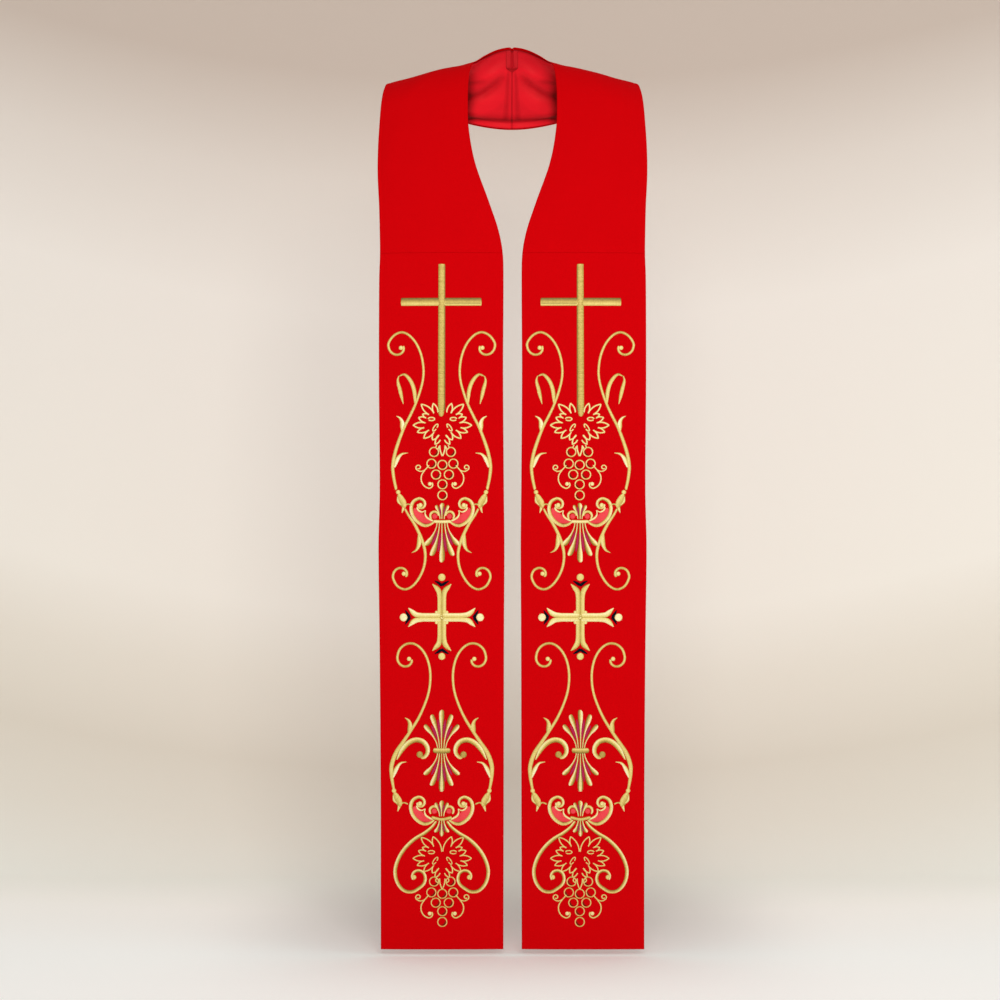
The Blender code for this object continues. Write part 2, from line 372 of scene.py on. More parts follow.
@dataclass
class BandForm:
    """The outer cloth's visible face, as a function of length and of fraction across."""

    stations: tuple[Station, ...] = STATIONS
    tangent_step: float = 0.5
    edge_step: float = 0.004
    notch_depth: float = 1.7
    notch_reach: float = 3.6
    ripple: float = 0.22
    slow_waves: tuple[tuple[float, float], ...] = ((37.0, 5.3), (71.0, -2.9))

    def __post_init__(self) -> None:
        """Read the stations into arrays and measure along them."""
        self.neck = np.array([(row.neck_x, row.neck_y, row.neck_z) for row in self.stations])
        self.outer = np.array([(row.outer_x, row.outer_y, row.outer_z) for row in self.stations])
        self.crown = np.array([row.crown for row in self.stations])
        self.row_lengths = chain_lengths((self.neck + self.outer) / 2)
        self.seam_length = self.row_lengths[CROSS_SEAM_ROW]
        self.hem_length = self.row_lengths[-1]

    def edges(self, length: np.ndarray) -> tuple[np.ndarray, np.ndarray]:
        """Read the band's two edges; the neck edge dips in a bell curve at the nape.

        Args:
            length: lengths along the band, from 0 up.

        Returns:
            The neck edge's points and the outer edge's points.
        """
        mirror = np.array((-1.0, 1.0, 1.0))
        first = -self.row_lengths[1]
        neck = read_curve(self.neck, self.row_lengths, length, (first, self.neck[1] * mirror))
        outer = read_curve(self.outer, self.row_lengths, length, (first, self.outer[1] * mirror))
        neck[..., 2] -= self.notch_depth * bell(length, self.notch_reach)
        return neck, outer

    def width(self, length: np.ndarray) -> np.ndarray:
        """Return the straight distance across the band."""
        neck, outer = self.edges(length)
        return np.linalg.norm(outer - neck, axis=-1)

    def ruled(self, length: np.ndarray, across: np.ndarray) -> np.ndarray:
        """Read points on the straight lines across the band.

        Args:
            length: lengths along the band; a negative one lies on the other half.
            across: fractions across it.

        Returns:
            The points.
        """
        neck, outer = self.edges(np.abs(length))
        point = neck + (outer - neck) * across[..., None]
        point[..., 0] *= np.where(length < 0, -1.0, 1.0)
        return point

    def facing(self, surface: Surface, length: np.ndarray, across: np.ndarray) -> np.ndarray:
        """Work out a surface's unit vectors away from the body, the product of its two directions.

        Args:
            surface: the surface, as a function of length and fraction.
            length: lengths along the band.
            across: fractions across it.

        Returns:
            A vector for each place.
        """
        along = surface(length + self.tangent_step, across) - surface(length - self.tangent_step, across)
        over = surface(length, across + self.edge_step) - surface(length, across - self.edge_step)
        normal = np.cross(along, over)
        return normal / np.linalg.norm(normal, axis=-1, keepdims=True)

    def smooth_face(self, length: np.ndarray, across: np.ndarray) -> np.ndarray:
        """Read points on the face before it is folded: the straight lines, crowned as parabolas.

        Args:
            length: lengths along the band; a negative one lies on the other half.
            across: fractions across it.

        Returns:
            The points.
        """
        before = (-self.row_lengths[1], self.crown[1])
        lift = read_curve(self.crown, self.row_lengths, np.abs(length), before) * 4 * across * (1 - across)
        return self.ruled(length, across) + self.facing(self.ruled, length, across) * lift[..., None]

    def fold_rise(self, folds: tuple[Fold, ...], length: np.ndarray, across: np.ndarray) -> np.ndarray:
        """Add up the folds' rises.

        The product of two slow sine waves lies under them all.

        Args:
            folds: the folds.
            length: lengths along the band.
            across: fractions across it.

        Returns:
            The distance that each place moves away from the body.
        """
        length = np.abs(length)
        place = np.stack([length, across * self.width(length)], axis=-1)
        first, second = (np.sin(length / along + across * over) for along, over in self.slow_waves)
        return self.ripple * first * second + bells(folds, place)

    def place(self, side: Side, length: np.ndarray, across: np.ndarray,
              depth: np.ndarray | float) -> np.ndarray:
        """Return points a depth inside the folded face of one half.

        Args:
            side: which half.
            length: lengths along the band.
            across: fractions across it.
            depth: how far inside the visible face; negative stands proud of it.

        Returns:
            Points in millimetres, mirrored for the right half.
        """
        normal = self.facing(self.smooth_face, length, across)
        out = self.fold_rise(side.folds, length, across) - depth
        point = self.smooth_face(length, across) + normal * out[..., None]
        point[..., 0] *= side.value
        return point


FORM = BandForm()


# ---------------------------------------------------------------- cloth pieces

OUTER_WALL = 1.5
LINING_WALL = 1.0
SEAM_GAP = 0.3
LINING_SET_IN = 3.0
LINING_DEPTH = OUTER_WALL + SEAM_GAP
# How the painted shade round the nape fades out along the band.
NAPE_FADE = Ridge(1.0, 85.0, power=6)


def spaced(start: float, end: float, pitch: float, near: np.ndarray) -> np.ndarray:
    """Space rows evenly, with closer ones near both ends.

    Args:
        start: where the rows start.
        end: where they end.
        pitch: about how far apart they are.
        near: the closer rows' distances from each end.

    Returns:
        The rows' places.
    """
    steps = max(2, round((end - start - 2 * near[-1]) / pitch))
    middle = np.linspace(start + near[-1], end - near[-1], steps + 1)
    return np.concatenate([start + near[:-1], middle, end - near[-2::-1]])


@dataclass
class ClothShell:
    """A stretch of the band's cloth: a closed thin slab with rounded edges."""

    name: str
    side: Side
    start: float
    end: float
    pitch: float
    inset: float = 0.0
    depth: float = 0.0
    wall: float = OUTER_WALL
    edge_roll: float = 0.9
    sewn_roll: float = 0.3
    near_edge: tuple[float, ...] = (0.0, 0.12, 0.45, 0.95, 1.6, 2.6, 3.6, 4.3, 5.0, 5.7, 6.6)

    def rows(self) -> np.ndarray:
        """Return the lengths of the shell's rows."""
        return spaced(self.start, self.end, self.pitch, np.array(self.near_edge))

    def columns(self, rows: np.ndarray) -> tuple[np.ndarray, np.ndarray]:
        """Space points across each row, at fixed distances near both edges and evenly between them.

        Args:
            rows: the rows' lengths along the band.

        Returns:
            Each point's distance from the shell's neck edge, and the shell's width at each row.
        """
        near = np.array(self.near_edge)
        width = FORM.width(rows) - 2 * self.inset
        even = np.linspace(0, 1, max(2, round((width.max() - 2 * near[-1]) / self.pitch)) + 1)
        share = np.concatenate([np.zeros(len(near) - 1), even, np.ones(len(near) - 1)])
        fixed = np.concatenate([near[:-1], near[-1] * (1 - 2 * even), -near[-2::-1]])
        return fixed + share * width[:, None], width

    def to_hem(self, length: np.ndarray) -> np.ndarray:
        """Return the distance to the hem, or a far one for a shell that ends in a seam."""
        return np.where(self.end >= FORM.hem_length, self.end - length, FAR)

    def cut(self) -> tuple[tuple[float, float], float]:
        """Measure the flat cloth that the shell is cut from.

        Returns:
            Its widest width and its length, and its area, in metres.
        """
        widths = FORM.width(np.linspace(self.start, self.end, 200)) - 2 * self.inset
        flat = (float(widths.max()) * MM, (self.end - self.start) * MM)
        return flat, float(np.mean(widths)) * MM * flat[1]

    def press(self, length: np.ndarray, from_side: np.ndarray) -> np.ndarray:
        """Return how far the visible face is pressed in; a plain shell isn't."""
        return np.zeros_like(length)

    def pucker(self, length: np.ndarray, across: np.ndarray) -> np.ndarray:
        """Return how far the whole shell puckers inwards; a plain shell doesn't."""
        return np.zeros_like(length)

    def hollow(self, length: np.ndarray, across: np.ndarray) -> np.ndarray:
        """Return how much painted shade its folds lay on the cloth, from 0 to 1; a plain shell has no such
        folds.
        """
        return np.zeros_like(length)

    def turning(self, length: np.ndarray, across: np.ndarray) -> np.ndarray:
        """Return the painted shade that only the hidden face has; a plain shell has none."""
        return np.zeros_like(length)

    def data(self) -> MeshData:
        """Work out the slab.

        The visible and the hidden face lie half the wall each side of the middle. Near an edge that half
        shrinks as a quarter circle falls, by the product of both directions' circles, so that the two
        faces meet in a rounded rim; at a sewn end the circle is very small.

        Returns:
            The slab's points and faces, with its chart in lengths across and along the cloth.
        """
        rows = self.rows()
        over, width = self.columns(rows)
        length = np.repeat(rows[:, None], over.shape[1], axis=1)
        from_side = np.minimum(over, width[:, None] - over)
        from_end = np.minimum(length - self.start, self.end - length)
        free_end = self.to_hem(length)
        sewn_end = np.where(free_end <= from_end, FAR, from_end)
        roll = self.wall * self.edge_roll
        half = self.wall / 2 * rounded(from_side, roll) * rounded(free_end, roll)
        half = half * rounded(sewn_end, self.sewn_roll)
        middle = self.depth + self.wall / 2 + self.pucker(length, self.inset + over)
        across = (self.inset + over) / (width + 2 * self.inset)[:, None]
        pressed = self.press(length, from_side) * np.clip(half / (self.wall / 2), 0, 1)
        upper = FORM.place(self.side, length, across, middle - half + pressed)
        lower = FORM.place(self.side, length, across, middle + half)
        faces = slab_faces(*length.shape)
        chart = np.stack([self.inset + over, length], axis=-1)
        rim = np.minimum(from_side, free_end)[..., None]
        # The painted shade of the folds, and on the hidden face also that of the turning, is written as the
        # value hollow.
        hollow = self.hollow(length, self.inset + over)[..., None]
        turned = self.turning(length, self.inset + over)[..., None]
        return MeshData(
            points=slab_points(upper, lower),
            faces=faces if self.side is Side.LEFT else faces[:, ::-1],
            chart=slab_points(chart, chart),
            values={"from_edge": slab_points(rim, rim)[:, 0],
                    "hollow": slab_points(hollow, hollow + turned)[:, 0]},
        )


@dataclass
class OuterCloth(ClothShell):
    """Red outer cloth, whose turned-in allowance shows as a faint pressed line inside the edges."""

    allowance: float = 5.2
    pressed_line: Ridge = Ridge(0.26, 1.0)
    seam_dip: Ridge = Ridge(0.1, 1.8)
    turning_shade: float = 0.75
    turning_width: float = 9.0

    def press(self, length: np.ndarray, from_side: np.ndarray) -> np.ndarray:
        """Press the face in along the allowance and at the sewn ends.

        Args:
            length: lengths along the band.
            from_side: distances from the nearer long edge.

        Returns:
            How far the visible face is pressed in.
        """
        edge = np.minimum(from_side, self.to_hem(length))
        pressed = self.pressed_line.at(edge - self.allowance)
        for seam in (0.0, FORM.seam_length):
            pressed = pressed + self.seam_dip.at(length - seam)
        return pressed

    def turning(self, length: np.ndarray, across: np.ndarray) -> np.ndarray:
        """Paint shade on the turning inside the neck edge, which lies in the lining's shadow round the nape.
        """
        return self.turning_shade * NAPE_FADE.at(length) * bell(across, self.turning_width, power=4)


@dataclass
class Lining(ClothShell):
    """Satin lining, sewn in a little way inside every edge.

    Its ridges and its painted shades lie across the length from the centre seam, the distance from the neck
    edge or the distance above the crease.
    """

    inset: float = LINING_SET_IN
    depth: float = LINING_DEPTH
    wall: float = LINING_WALL
    near_edge: tuple[float, ...] = (0.0, 0.1, 0.4, 0.9, 1.8, 3.0)
    fine_until: float = 160.0
    fine_pitch: float = 1.9
    crease_from_edge: float = 12.5
    crease_until: float = 62.0
    crease_narrowing: float = 0.62
    allowance: float = 9.5
    pressed_rise: float = 0.3
    pressed_step: float = 0.35
    seam_line: float = 0.9
    wander_rise: float = 0.25
    wander_waves: tuple[tuple[float, float], ...] = ((13.0, 19.0), (31.0, -11.0))
    deepest_trough: float = -0.4
    nape_reach: float = 95.0
    upper_roll: Ridge = Ridge(1.5, 6.0, 8.0)
    lower_roll: Ridge = Ridge(1.3, 4.0)
    crease_dip: Ridge = Ridge(-0.7, 1.6)
    # Painted shade over the nape: a plain share, the share beyond the nape, and bell curves across the
    # crease, seam, opening and neck edge.
    plain_shade: float = 0.12
    shade_beyond: float = 0.2
    crease_dark: float = 0.42
    crease_darkens: float = 0.24
    darkens_by: float = 45.0
    pressed_from: float = 32.0
    pressed_fade: float = 4.0
    crease_shade: Ridge = Ridge(1.0, 2.5, 1.0)
    over_crease: Ridge = Ridge(0.2, 5.0, 5.0)
    under_crease: Ridge = Ridge(-0.14, 4.0, -6.0)
    seam_shade: Ridge = Ridge(0.3, 0.8)
    allowance_shade: Ridge = Ridge(0.22, 3.0, 6.2, 4)
    opening_shade: Ridge = Ridge(0.78, 9.0, 64.0)
    edge_shade: Ridge = Ridge(0.4, 3.0, LINING_SET_IN)
    top_shade: Ridge = Ridge(0.16, 12.0, 12.0)

    def rows(self) -> np.ndarray:
        """Space the shell's rows, closer together round the back of the neck.

        Returns:
            The rows' lengths.
        """
        near = np.array(self.near_edge)
        fine = np.arange(self.start + near[-1], self.fine_until, self.fine_pitch)
        steps = round((self.end - near[-1] - self.fine_until) / self.pitch)
        rest = np.linspace(self.fine_until, self.end - near[-1], steps + 1)
        return np.concatenate([self.start + near[:-1], fine, rest, self.end - near[-2::-1]])

    def crease(self, length: np.ndarray) -> np.ndarray:
        """Return how far the nape's crease lies from the lower edge: a parabola, narrowing sideways."""
        narrowed = self.crease_narrowing * (np.clip(length / self.crease_until, 0, 1)) ** 2
        return self.crease_from_edge * (1 - narrowed)

    def pucker(self, length: np.ndarray, across: np.ndarray) -> np.ndarray:
        """Raise the satin towards the neck in soft puckers.

        They are a roll along the lower edge that ends in a crease, the folds beside the nape, and the
        centre seam's pressed allowance; each is a bell curve across its own line.

        Args:
            length: lengths along the band.
            across: distances from the band's neck edge.

        Returns:
            How far the satin moves in.
        """
        from_low = FORM.width(length) - across
        fade = bell(length, self.nape_reach, power=4)
        crease = self.crease(length)
        above = from_low - crease
        roll = self.upper_roll.at(above) + self.lower_roll.at(from_low - crease * 0.5)
        low = (roll + self.crease_dip.at(above) - self.crease_dip.rise) * fade
        step = 1 / (1 + np.exp((length - self.allowance) / self.pressed_step))
        seam = self.pressed_rise * (step - bell(length, self.seam_line))
        first, second = (np.sin(length / along + across / over) for along, over in self.wander_waves)
        folds = np.maximum(bells(NAPE_FOLDS, np.stack([length, across], axis=-1)), self.deepest_trough)
        return low + (seam + self.wander_rise * (1 + first * second)) * fade + folds

    def hollow(self, length: np.ndarray, across: np.ndarray) -> np.ndarray:
        """Paint shade on the satin where it is sunk.

        Bell curves of painted shade across the crease, the troughs, the seam, its pressed allowance and the
        strips beside the neck opening, where the fronts shadow it, are added up; the rolls between them
        count against the shade, as painted light.

        Args:
            length: lengths along the band.
            across: distances from the band's neck edge.

        Returns:
            The share of the shade's colour.
        """
        above = FORM.width(length) - across - self.crease(length)
        fade = NAPE_FADE.at(length)
        dark = self.crease_dark + self.crease_darkens * np.clip(length / self.darkens_by, 0, 1)
        crease = dark * self.crease_shade.at(above)
        soft = self.over_crease.at(above) + self.under_crease.at(above)
        pressed = (np.clip((across - self.pressed_from) / self.pressed_fade, 0, 1)
                   * np.clip(above / self.pressed_fade, 0, 1))
        seam = self.seam_shade.at(length) + self.allowance_shade.at(length) * pressed
        beside = self.opening_shade.at(FORM.ruled(length, across / FORM.width(length))[..., 0])
        top = self.edge_shade.at(across) + self.top_shade.at(across)
        troughs = bells(NAPE_SHADES, np.stack([length, across], axis=-1))
        shade = self.plain_shade + crease + soft + seam + beside + top + troughs
        return np.clip(shade * fade + self.shade_beyond * (1 - fade), 0.0, 1.0)


@dataclass
class HangerLoop:
    """A folded satin tape in a U, sewn at its two ends below the neck edge."""

    name: str = "hanger_loop_tape"
    tape: float = 7.6
    spacing: float = 10.0
    top: float = 4.5
    drop: float = 21.0
    flat: float = 0.6
    wall: float = 0.9
    depth: float = LINING_DEPTH + LINING_WALL + 0.12
    cut_length: float = 60.0
    edge_roll: float = 0.7
    bow: Ridge = Ridge(0.9, 0.16, 0.5)
    groove: Ridge = Ridge(0.22, 0.5)
    full_groove_half: float = 0.4
    fitting_rounds: int = 8
    turn_shade: Ridge = Ridge(0.75, 1.5, 2.6)
    plain_shade: float = 0.1
    leg_rows: int = 26
    turn_rows: int = 30
    columns: int = 15

    def outline(self) -> tuple[np.ndarray, np.ndarray, np.ndarray]:
        """Lay out the tape row by row.

        Each line along the tape is two straight legs joined by half an ellipse.

        Returns:
            Each point's x, its drop from the neck edge and its share across the tape.
        """
        share = 0.5 - 0.5 * np.cos(np.linspace(0.0, np.pi, self.columns))
        reach = self.spacing / 2 + (share - 0.5) * self.tape
        foot = self.top + self.drop
        down = np.linspace(self.top, foot, self.leg_rows, endpoint=False)[:, None]
        angle = np.linspace(0.0, np.pi, self.turn_rows + 1)[:, None]
        flat = np.zeros_like(down)
        x = np.concatenate([flat - reach, -reach * np.cos(angle), flat + reach])
        turn = foot + self.flat * reach * np.sin(angle)
        fall = np.concatenate([down + 0 * reach, turn, down[::-1] + 0 * reach])
        return x, fall, np.broadcast_to(share, x.shape)

    def data(self, satin: Lining) -> MeshData:
        """Lay the tape on the satin.

        The length along the band is corrected a few times until it gives the wanted x.

        Args:
            satin: the lining that the tape lies on, for its puckers.

        Returns:
            The tape as a closed slab, with a shallow groove along its middle.
        """
        x, fall, share = self.outline()
        across = fall / FORM.width(np.zeros(1))[0]
        length = x + 1e-6
        for _round in range(self.fitting_rounds):
            reached = FORM.smooth_face(length, across)[..., 0]
            length = length * x / np.where(np.abs(reached) < 1e-5, 1e-5, reached) + 1e-9
        rows = np.arange(len(x))[:, None] / (len(x) - 1)
        from_side = np.minimum(share, 1 - share) * self.tape
        from_end = np.minimum(rows, 1 - rows) * (2 * self.drop + np.pi * self.spacing / 2)
        half = self.wall / 2 * rounded(from_side, self.edge_roll) * rounded(from_end, self.edge_roll)
        groove = self.groove.at((share - 0.5) * self.tape) * np.clip(half / self.full_groove_half, 0, 1)
        rest = self.depth + self.wall / 2 + satin.pucker(np.abs(length), fall) + self.bow.at(rows)
        upper = FORM.place(Side.LEFT, length, across, rest - half)
        lower = FORM.place(Side.LEFT, length, across, rest + half - groove)
        chart = np.stack([share * self.tape, rows * self.cut_length + 0 * share], axis=-1)
        side = from_side[..., None]
        # Painted shade: a little all over the tape and more along the bottom of its turn.
        shade = (self.plain_shade + self.turn_shade.at(fall - self.top - self.drop))[..., None]
        return MeshData(slab_points(upper, lower), slab_faces(*x.shape), slab_points(chart, chart),
                        {"from_edge": slab_points(side, side)[:, 0],
                         "hollow": slab_points(shade, shade)[:, 0]})


# ---------------------------------------------------------------- embroidery

class Thread(Enum):
    """The threads, in the order of the embroidery's material slots."""

    GOLD = 0
    PINK = 1
    PLUM = 2
    NAVY = 3
    # A dark thread that stitches painted shade inside the grapes.
    SHADE = 4


def smooth_line(points: np.ndarray, pitch: float) -> np.ndarray:
    """Return a smooth curve through a few points, walked in even steps."""
    knots = chain_lengths(points)
    return evenly(read_curve(points, knots, np.linspace(0, knots[-1], 24 * len(points))), pitch)


def curl(last: tuple[float, float], eye: tuple[float, float], turns: float, eye_radius: float) -> np.ndarray:
    """Wind a spiral from a place in towards its eye.

    The radius falls by the same share in each equal turn, from the place's own distance to the eye down to
    the eye's radius.

    Args:
        last: the place where the spiral starts.
        eye: the middle of the spiral.
        turns: how many turns it makes; a negative number winds the other way.
        eye_radius: the radius at its end.

    Returns:
        Places about every thirty degrees, without the first.
    """
    away = np.subtract(last, eye)
    radius, angle = np.hypot(*away), np.arctan2(away[1], away[0])
    part = np.linspace(0, 1, max(4, round(abs(turns) * 12)) + 1)[1:]
    spread = radius * (eye_radius / radius) ** part
    return arc(eye, spread, spread, angle + part * turns * 2 * np.pi)


def wound(stem: list[tuple[float, float]], eye: tuple[float, float], turns: float,
          eye_radius: float) -> np.ndarray:
    """Return the places of a stem that goes on as a curl round its eye."""
    return np.concatenate([stem, curl(stem[-1], eye, turns, eye_radius)])


# What all runs share. In millimetres: how deep their rims sink, their padding, their thickness under it,
# the half width from which they stand to their full rise, the least half width, and the least reach of an
# end's rounding and the least width that it is worked out from. As shares: the least rise of a thin run
# and the least width of an end.
RIM_SUNK = 0.04
PADDING = 0.05
UNDERSIDE = 0.12
FULL_RISE_HALF = 0.9
LEAST_RISE = 0.15
THINNEST_HALF = 0.12
BLUNTEST_END = 0.02
SHORTEST_END, LEAST_END_WIDTH = 0.05, 0.4
# How much a split run dips along its middle and how much painted shade darkens an edge, the speckle from
# which a run is flecked, the grain that a flecked run keeps, and how upright a run is where it has its own
# tone, free of its painted sheen.
SPLIT_DIP = Ridge(0.22, 0.25)
PAINTED_EDGE_SHADE = 0.16
FLECKED = 0.1
FLECKED_GRAIN = 0.3
OWN_TONE_UPRIGHT = 0.6
# Steps of the seeds that scatter the tones of stitches and flecks, and the sizes of their sines.
STITCH_STEP, STITCH_SIZE = 12.9898, 43758.5453
FLECK_STEP, FLECK_STEP_ACROSS, FLECK_SIZE = 3.31, 91.7, 9631.17


def scattered(seed: np.ndarray, size: float) -> np.ndarray:
    """Return a fixed unevenness from 0 to 1 for each seed: the fraction of a large sine."""
    return np.mod(np.sin(seed) * size, 1.0)


@dataclass
class Stitching:
    """One raised run of satin stitch, or a patch of it.

    Its places are in millimetres across from the motif's upright axis and down from the top of the tall
    cross. A mirrored run is stitched on both sides of the axis.
    """

    places: list[tuple[float, float]] | np.ndarray
    widths: tuple[float, ...]
    thread: Thread = Thread.GOLD
    tone: float = 0.62
    # Painted light and shade: how much lighter one side of the run is than the other; a split run also dips
    # along its middle.
    split: float = 0.0
    # Painted sheen: how much lighter the run is where it stands upright than where it lies level.
    swing: float = 0.22
    rise: float = 0.75
    mirrored: bool = True
    ends: tuple[float, float] = (1.0, 1.0)
    straight: bool = False
    speckle: float = 0.05
    columns: int = 5
    slant: float = 0.3
    ridge: float = 0.05

    def path(self, pitch: float) -> np.ndarray:
        """Return the run's middle line in even steps."""
        points = np.array(self.places, float)
        return evenly(points, pitch) if self.straight else smooth_line(points, pitch)

    def half_width(self, along: np.ndarray) -> np.ndarray:
        """Return half the run's width: its widths read smoothly, rounded off at its ends.

        Args:
            along: distance from the run's start.

        Returns:
            Half widths, which fall to nothing at both ends as a circle does, over each end's own reach.
        """
        part = along / along[-1]
        widths = np.array(self.widths if len(self.widths) > 1 else self.widths * 2, float)
        half = read_curve(widths, np.linspace(0, 1, len(widths)), part) / 2
        first, last = (max(SHORTEST_END, reach * max(width, LEAST_END_WIDTH) / 2)
                       for reach, width in zip(self.ends, (widths[0], widths[-1])))
        ends = rounded(along, first) * rounded(along[-1] - along, last)
        return np.maximum(half, THINNEST_HALF) * np.maximum(ends, BLUNTEST_END)

    def data(self, pitch: float = 0.56) -> MeshData:
        """Work out the run as a closed crowned slab.

        Across the run the height is the rise times a half circle. Every other row is a little lower, which
        makes the stitches' ridges, and the rows slant against the run.

        Args:
            pitch: distance between rows.

        Returns:
            Points as across, down and depth below the cloth's face, with the tone as a value.
        """
        path = self.path(pitch)
        along = chain_lengths(path)
        tangent = np.gradient(path, axis=0)
        tangent /= np.linalg.norm(tangent, axis=1, keepdims=True)
        left = np.stack([-tangent[:, 1], tangent[:, 0]], axis=1)
        share = np.sin(np.linspace(-np.pi / 2, np.pi / 2, self.columns))
        half = self.half_width(along)[:, None]
        place = path[:, None] + left[:, None] * (share * half)[..., None]
        place = place + tangent[:, None] * (self.slant * share * half * np.clip(half, 0, 1))[..., None]
        ridge = 1 - self.ridge * (np.arange(len(path)) % 2)[:, None]
        crown = np.sqrt(np.clip(1 - share**2, 0, 1)) * np.clip(half / FULL_RISE_HALF, LEAST_RISE, 1) * ridge
        if self.split:
            crown = crown * (1 - SPLIT_DIP.at(share))
        upper = np.concatenate([place, (RIM_SUNK - (self.rise + PADDING) * crown)[..., None]], axis=-1)
        lower = np.concatenate([place, RIM_SUNK + UNDERSIDE * crown[..., None]], axis=-1)
        # The tone carries painted sheen, light and shade as well as the run's own tone and its random
        # change.
        tone = self.stitch_tone(tangent, share)[..., None]
        chart = np.stack([share * half, along[:, None] + 0 * share], axis=-1)
        faces = slab_faces(len(path), self.columns)
        return MeshData(slab_points(upper, lower), faces, slab_points(chart, chart),
                        {"tone": slab_points(tone, tone)[:, 0]},
                        slots=np.full(len(faces), self.thread.value))

    def stitch_tone(self, tangent: np.ndarray, share: np.ndarray) -> np.ndarray:
        """Work out the tone of each stitch.

        It is the run's own tone with painted light and shade: a painted sheen makes it lighter where the run
        stands upright than where it lies level, painted light makes it lighter on one side where it is split
        and painted shade darker at both edges, with a small change from stitch to stitch.

        Args:
            tangent: the run's direction at each row.
            share: places across the run, from -1 to 1.

        Returns:
            One tone for each row and place across.
        """
        row = np.arange(len(tangent))[:, None]
        stitch = 2 * scattered(row * STITCH_STEP + len(tangent), STITCH_SIZE) - 1
        upright = np.abs(tangent[:, 1:2]) - OWN_TONE_UPRIGHT
        grain = self.speckle * (FLECKED_GRAIN if self.speckle > FLECKED else 1.0)
        tone = self.tone + self.swing * upright + self.split * np.tanh(share * 3.0) + grain * stitch
        tone = tone - PAINTED_EDGE_SHADE * np.abs(share) ** 3
        if self.speckle > FLECKED:
            fleck = scattered(row * FLECK_STEP + share * FLECK_STEP_ACROSS, FLECK_SIZE)
            tone = tone + self.speckle * (fleck - 0.5)
        return tone


def disc(place: tuple[float, float], radius: float, **finish: object) -> Stitching:
    """Stitch a round spot: a straight run as long as it is wide, rounded off by its ends.

    Args:
        place: its middle, across and down.
        radius: its radius.
        finish: other settings of the run.

    Returns:
        The run, mirrored where the spot lies beside the axis.
    """
    across, down = place
    lean, half = 0.3 * radius, 0.95 * radius
    given = {"mirrored": across != 0, "columns": 7, "swing": 0.0, "slant": 0.0, "rise": 0.9} | finish
    return Stitching([(across - lean, down - half), (across + lean, down + half)], (2 * radius,),
                     straight=True, **given)


def ring(place: tuple[float, float], radius: float, width: float, **finish: object) -> Stitching:
    """Stitch a ring: a run once round a circle, a little past its start.

    Args:
        place: its middle, across and down.
        radius: its radius.
        width: the run's width.
        finish: other settings of the run.

    Returns:
        The run, mirrored where the ring lies beside the axis.
    """
    once_round = arc(place, radius, radius, np.linspace(0, 2 * np.pi * 1.01, 40))
    return Stitching(once_round, (width,), mirrored=place[0] != 0, ends=(0.2, 0.2), **finish)


@dataclass
class Motif:
    """One named piece of the embroidery and the runs that it is stitched from."""

    name: str
    runs: list[Stitching]
    shift: float = 0.0

    def data(self) -> MeshData:
        """Join the runs, each mirrored one with its mirror image, into one mesh.

        Returns:
            The motif in its flat places.
        """
        parts = []
        for run in self.runs:
            made = run.data()
            parts.append(made)
            if run.mirrored:
                flipped = made.points * np.array((-1.0, 1.0, 1.0))
                parts.append(MeshData(flipped, made.faces[:, ::-1], made.chart, made.values, made.slots))
        starts = np.concatenate([[0], np.cumsum([len(part.points) for part in parts])[:-1]])
        points = np.concatenate([part.points for part in parts]) + np.array((self.shift, 0.0, 0.0))
        return MeshData(
            points=points,
            faces=np.concatenate([part.faces + start for part, start in zip(parts, starts)]),
            chart=np.concatenate([part.chart for part in parts]),
            values={"tone": np.concatenate([part.values["tone"] for part in parts])},
            slots=np.concatenate([part.slots for part in parts]),
        )


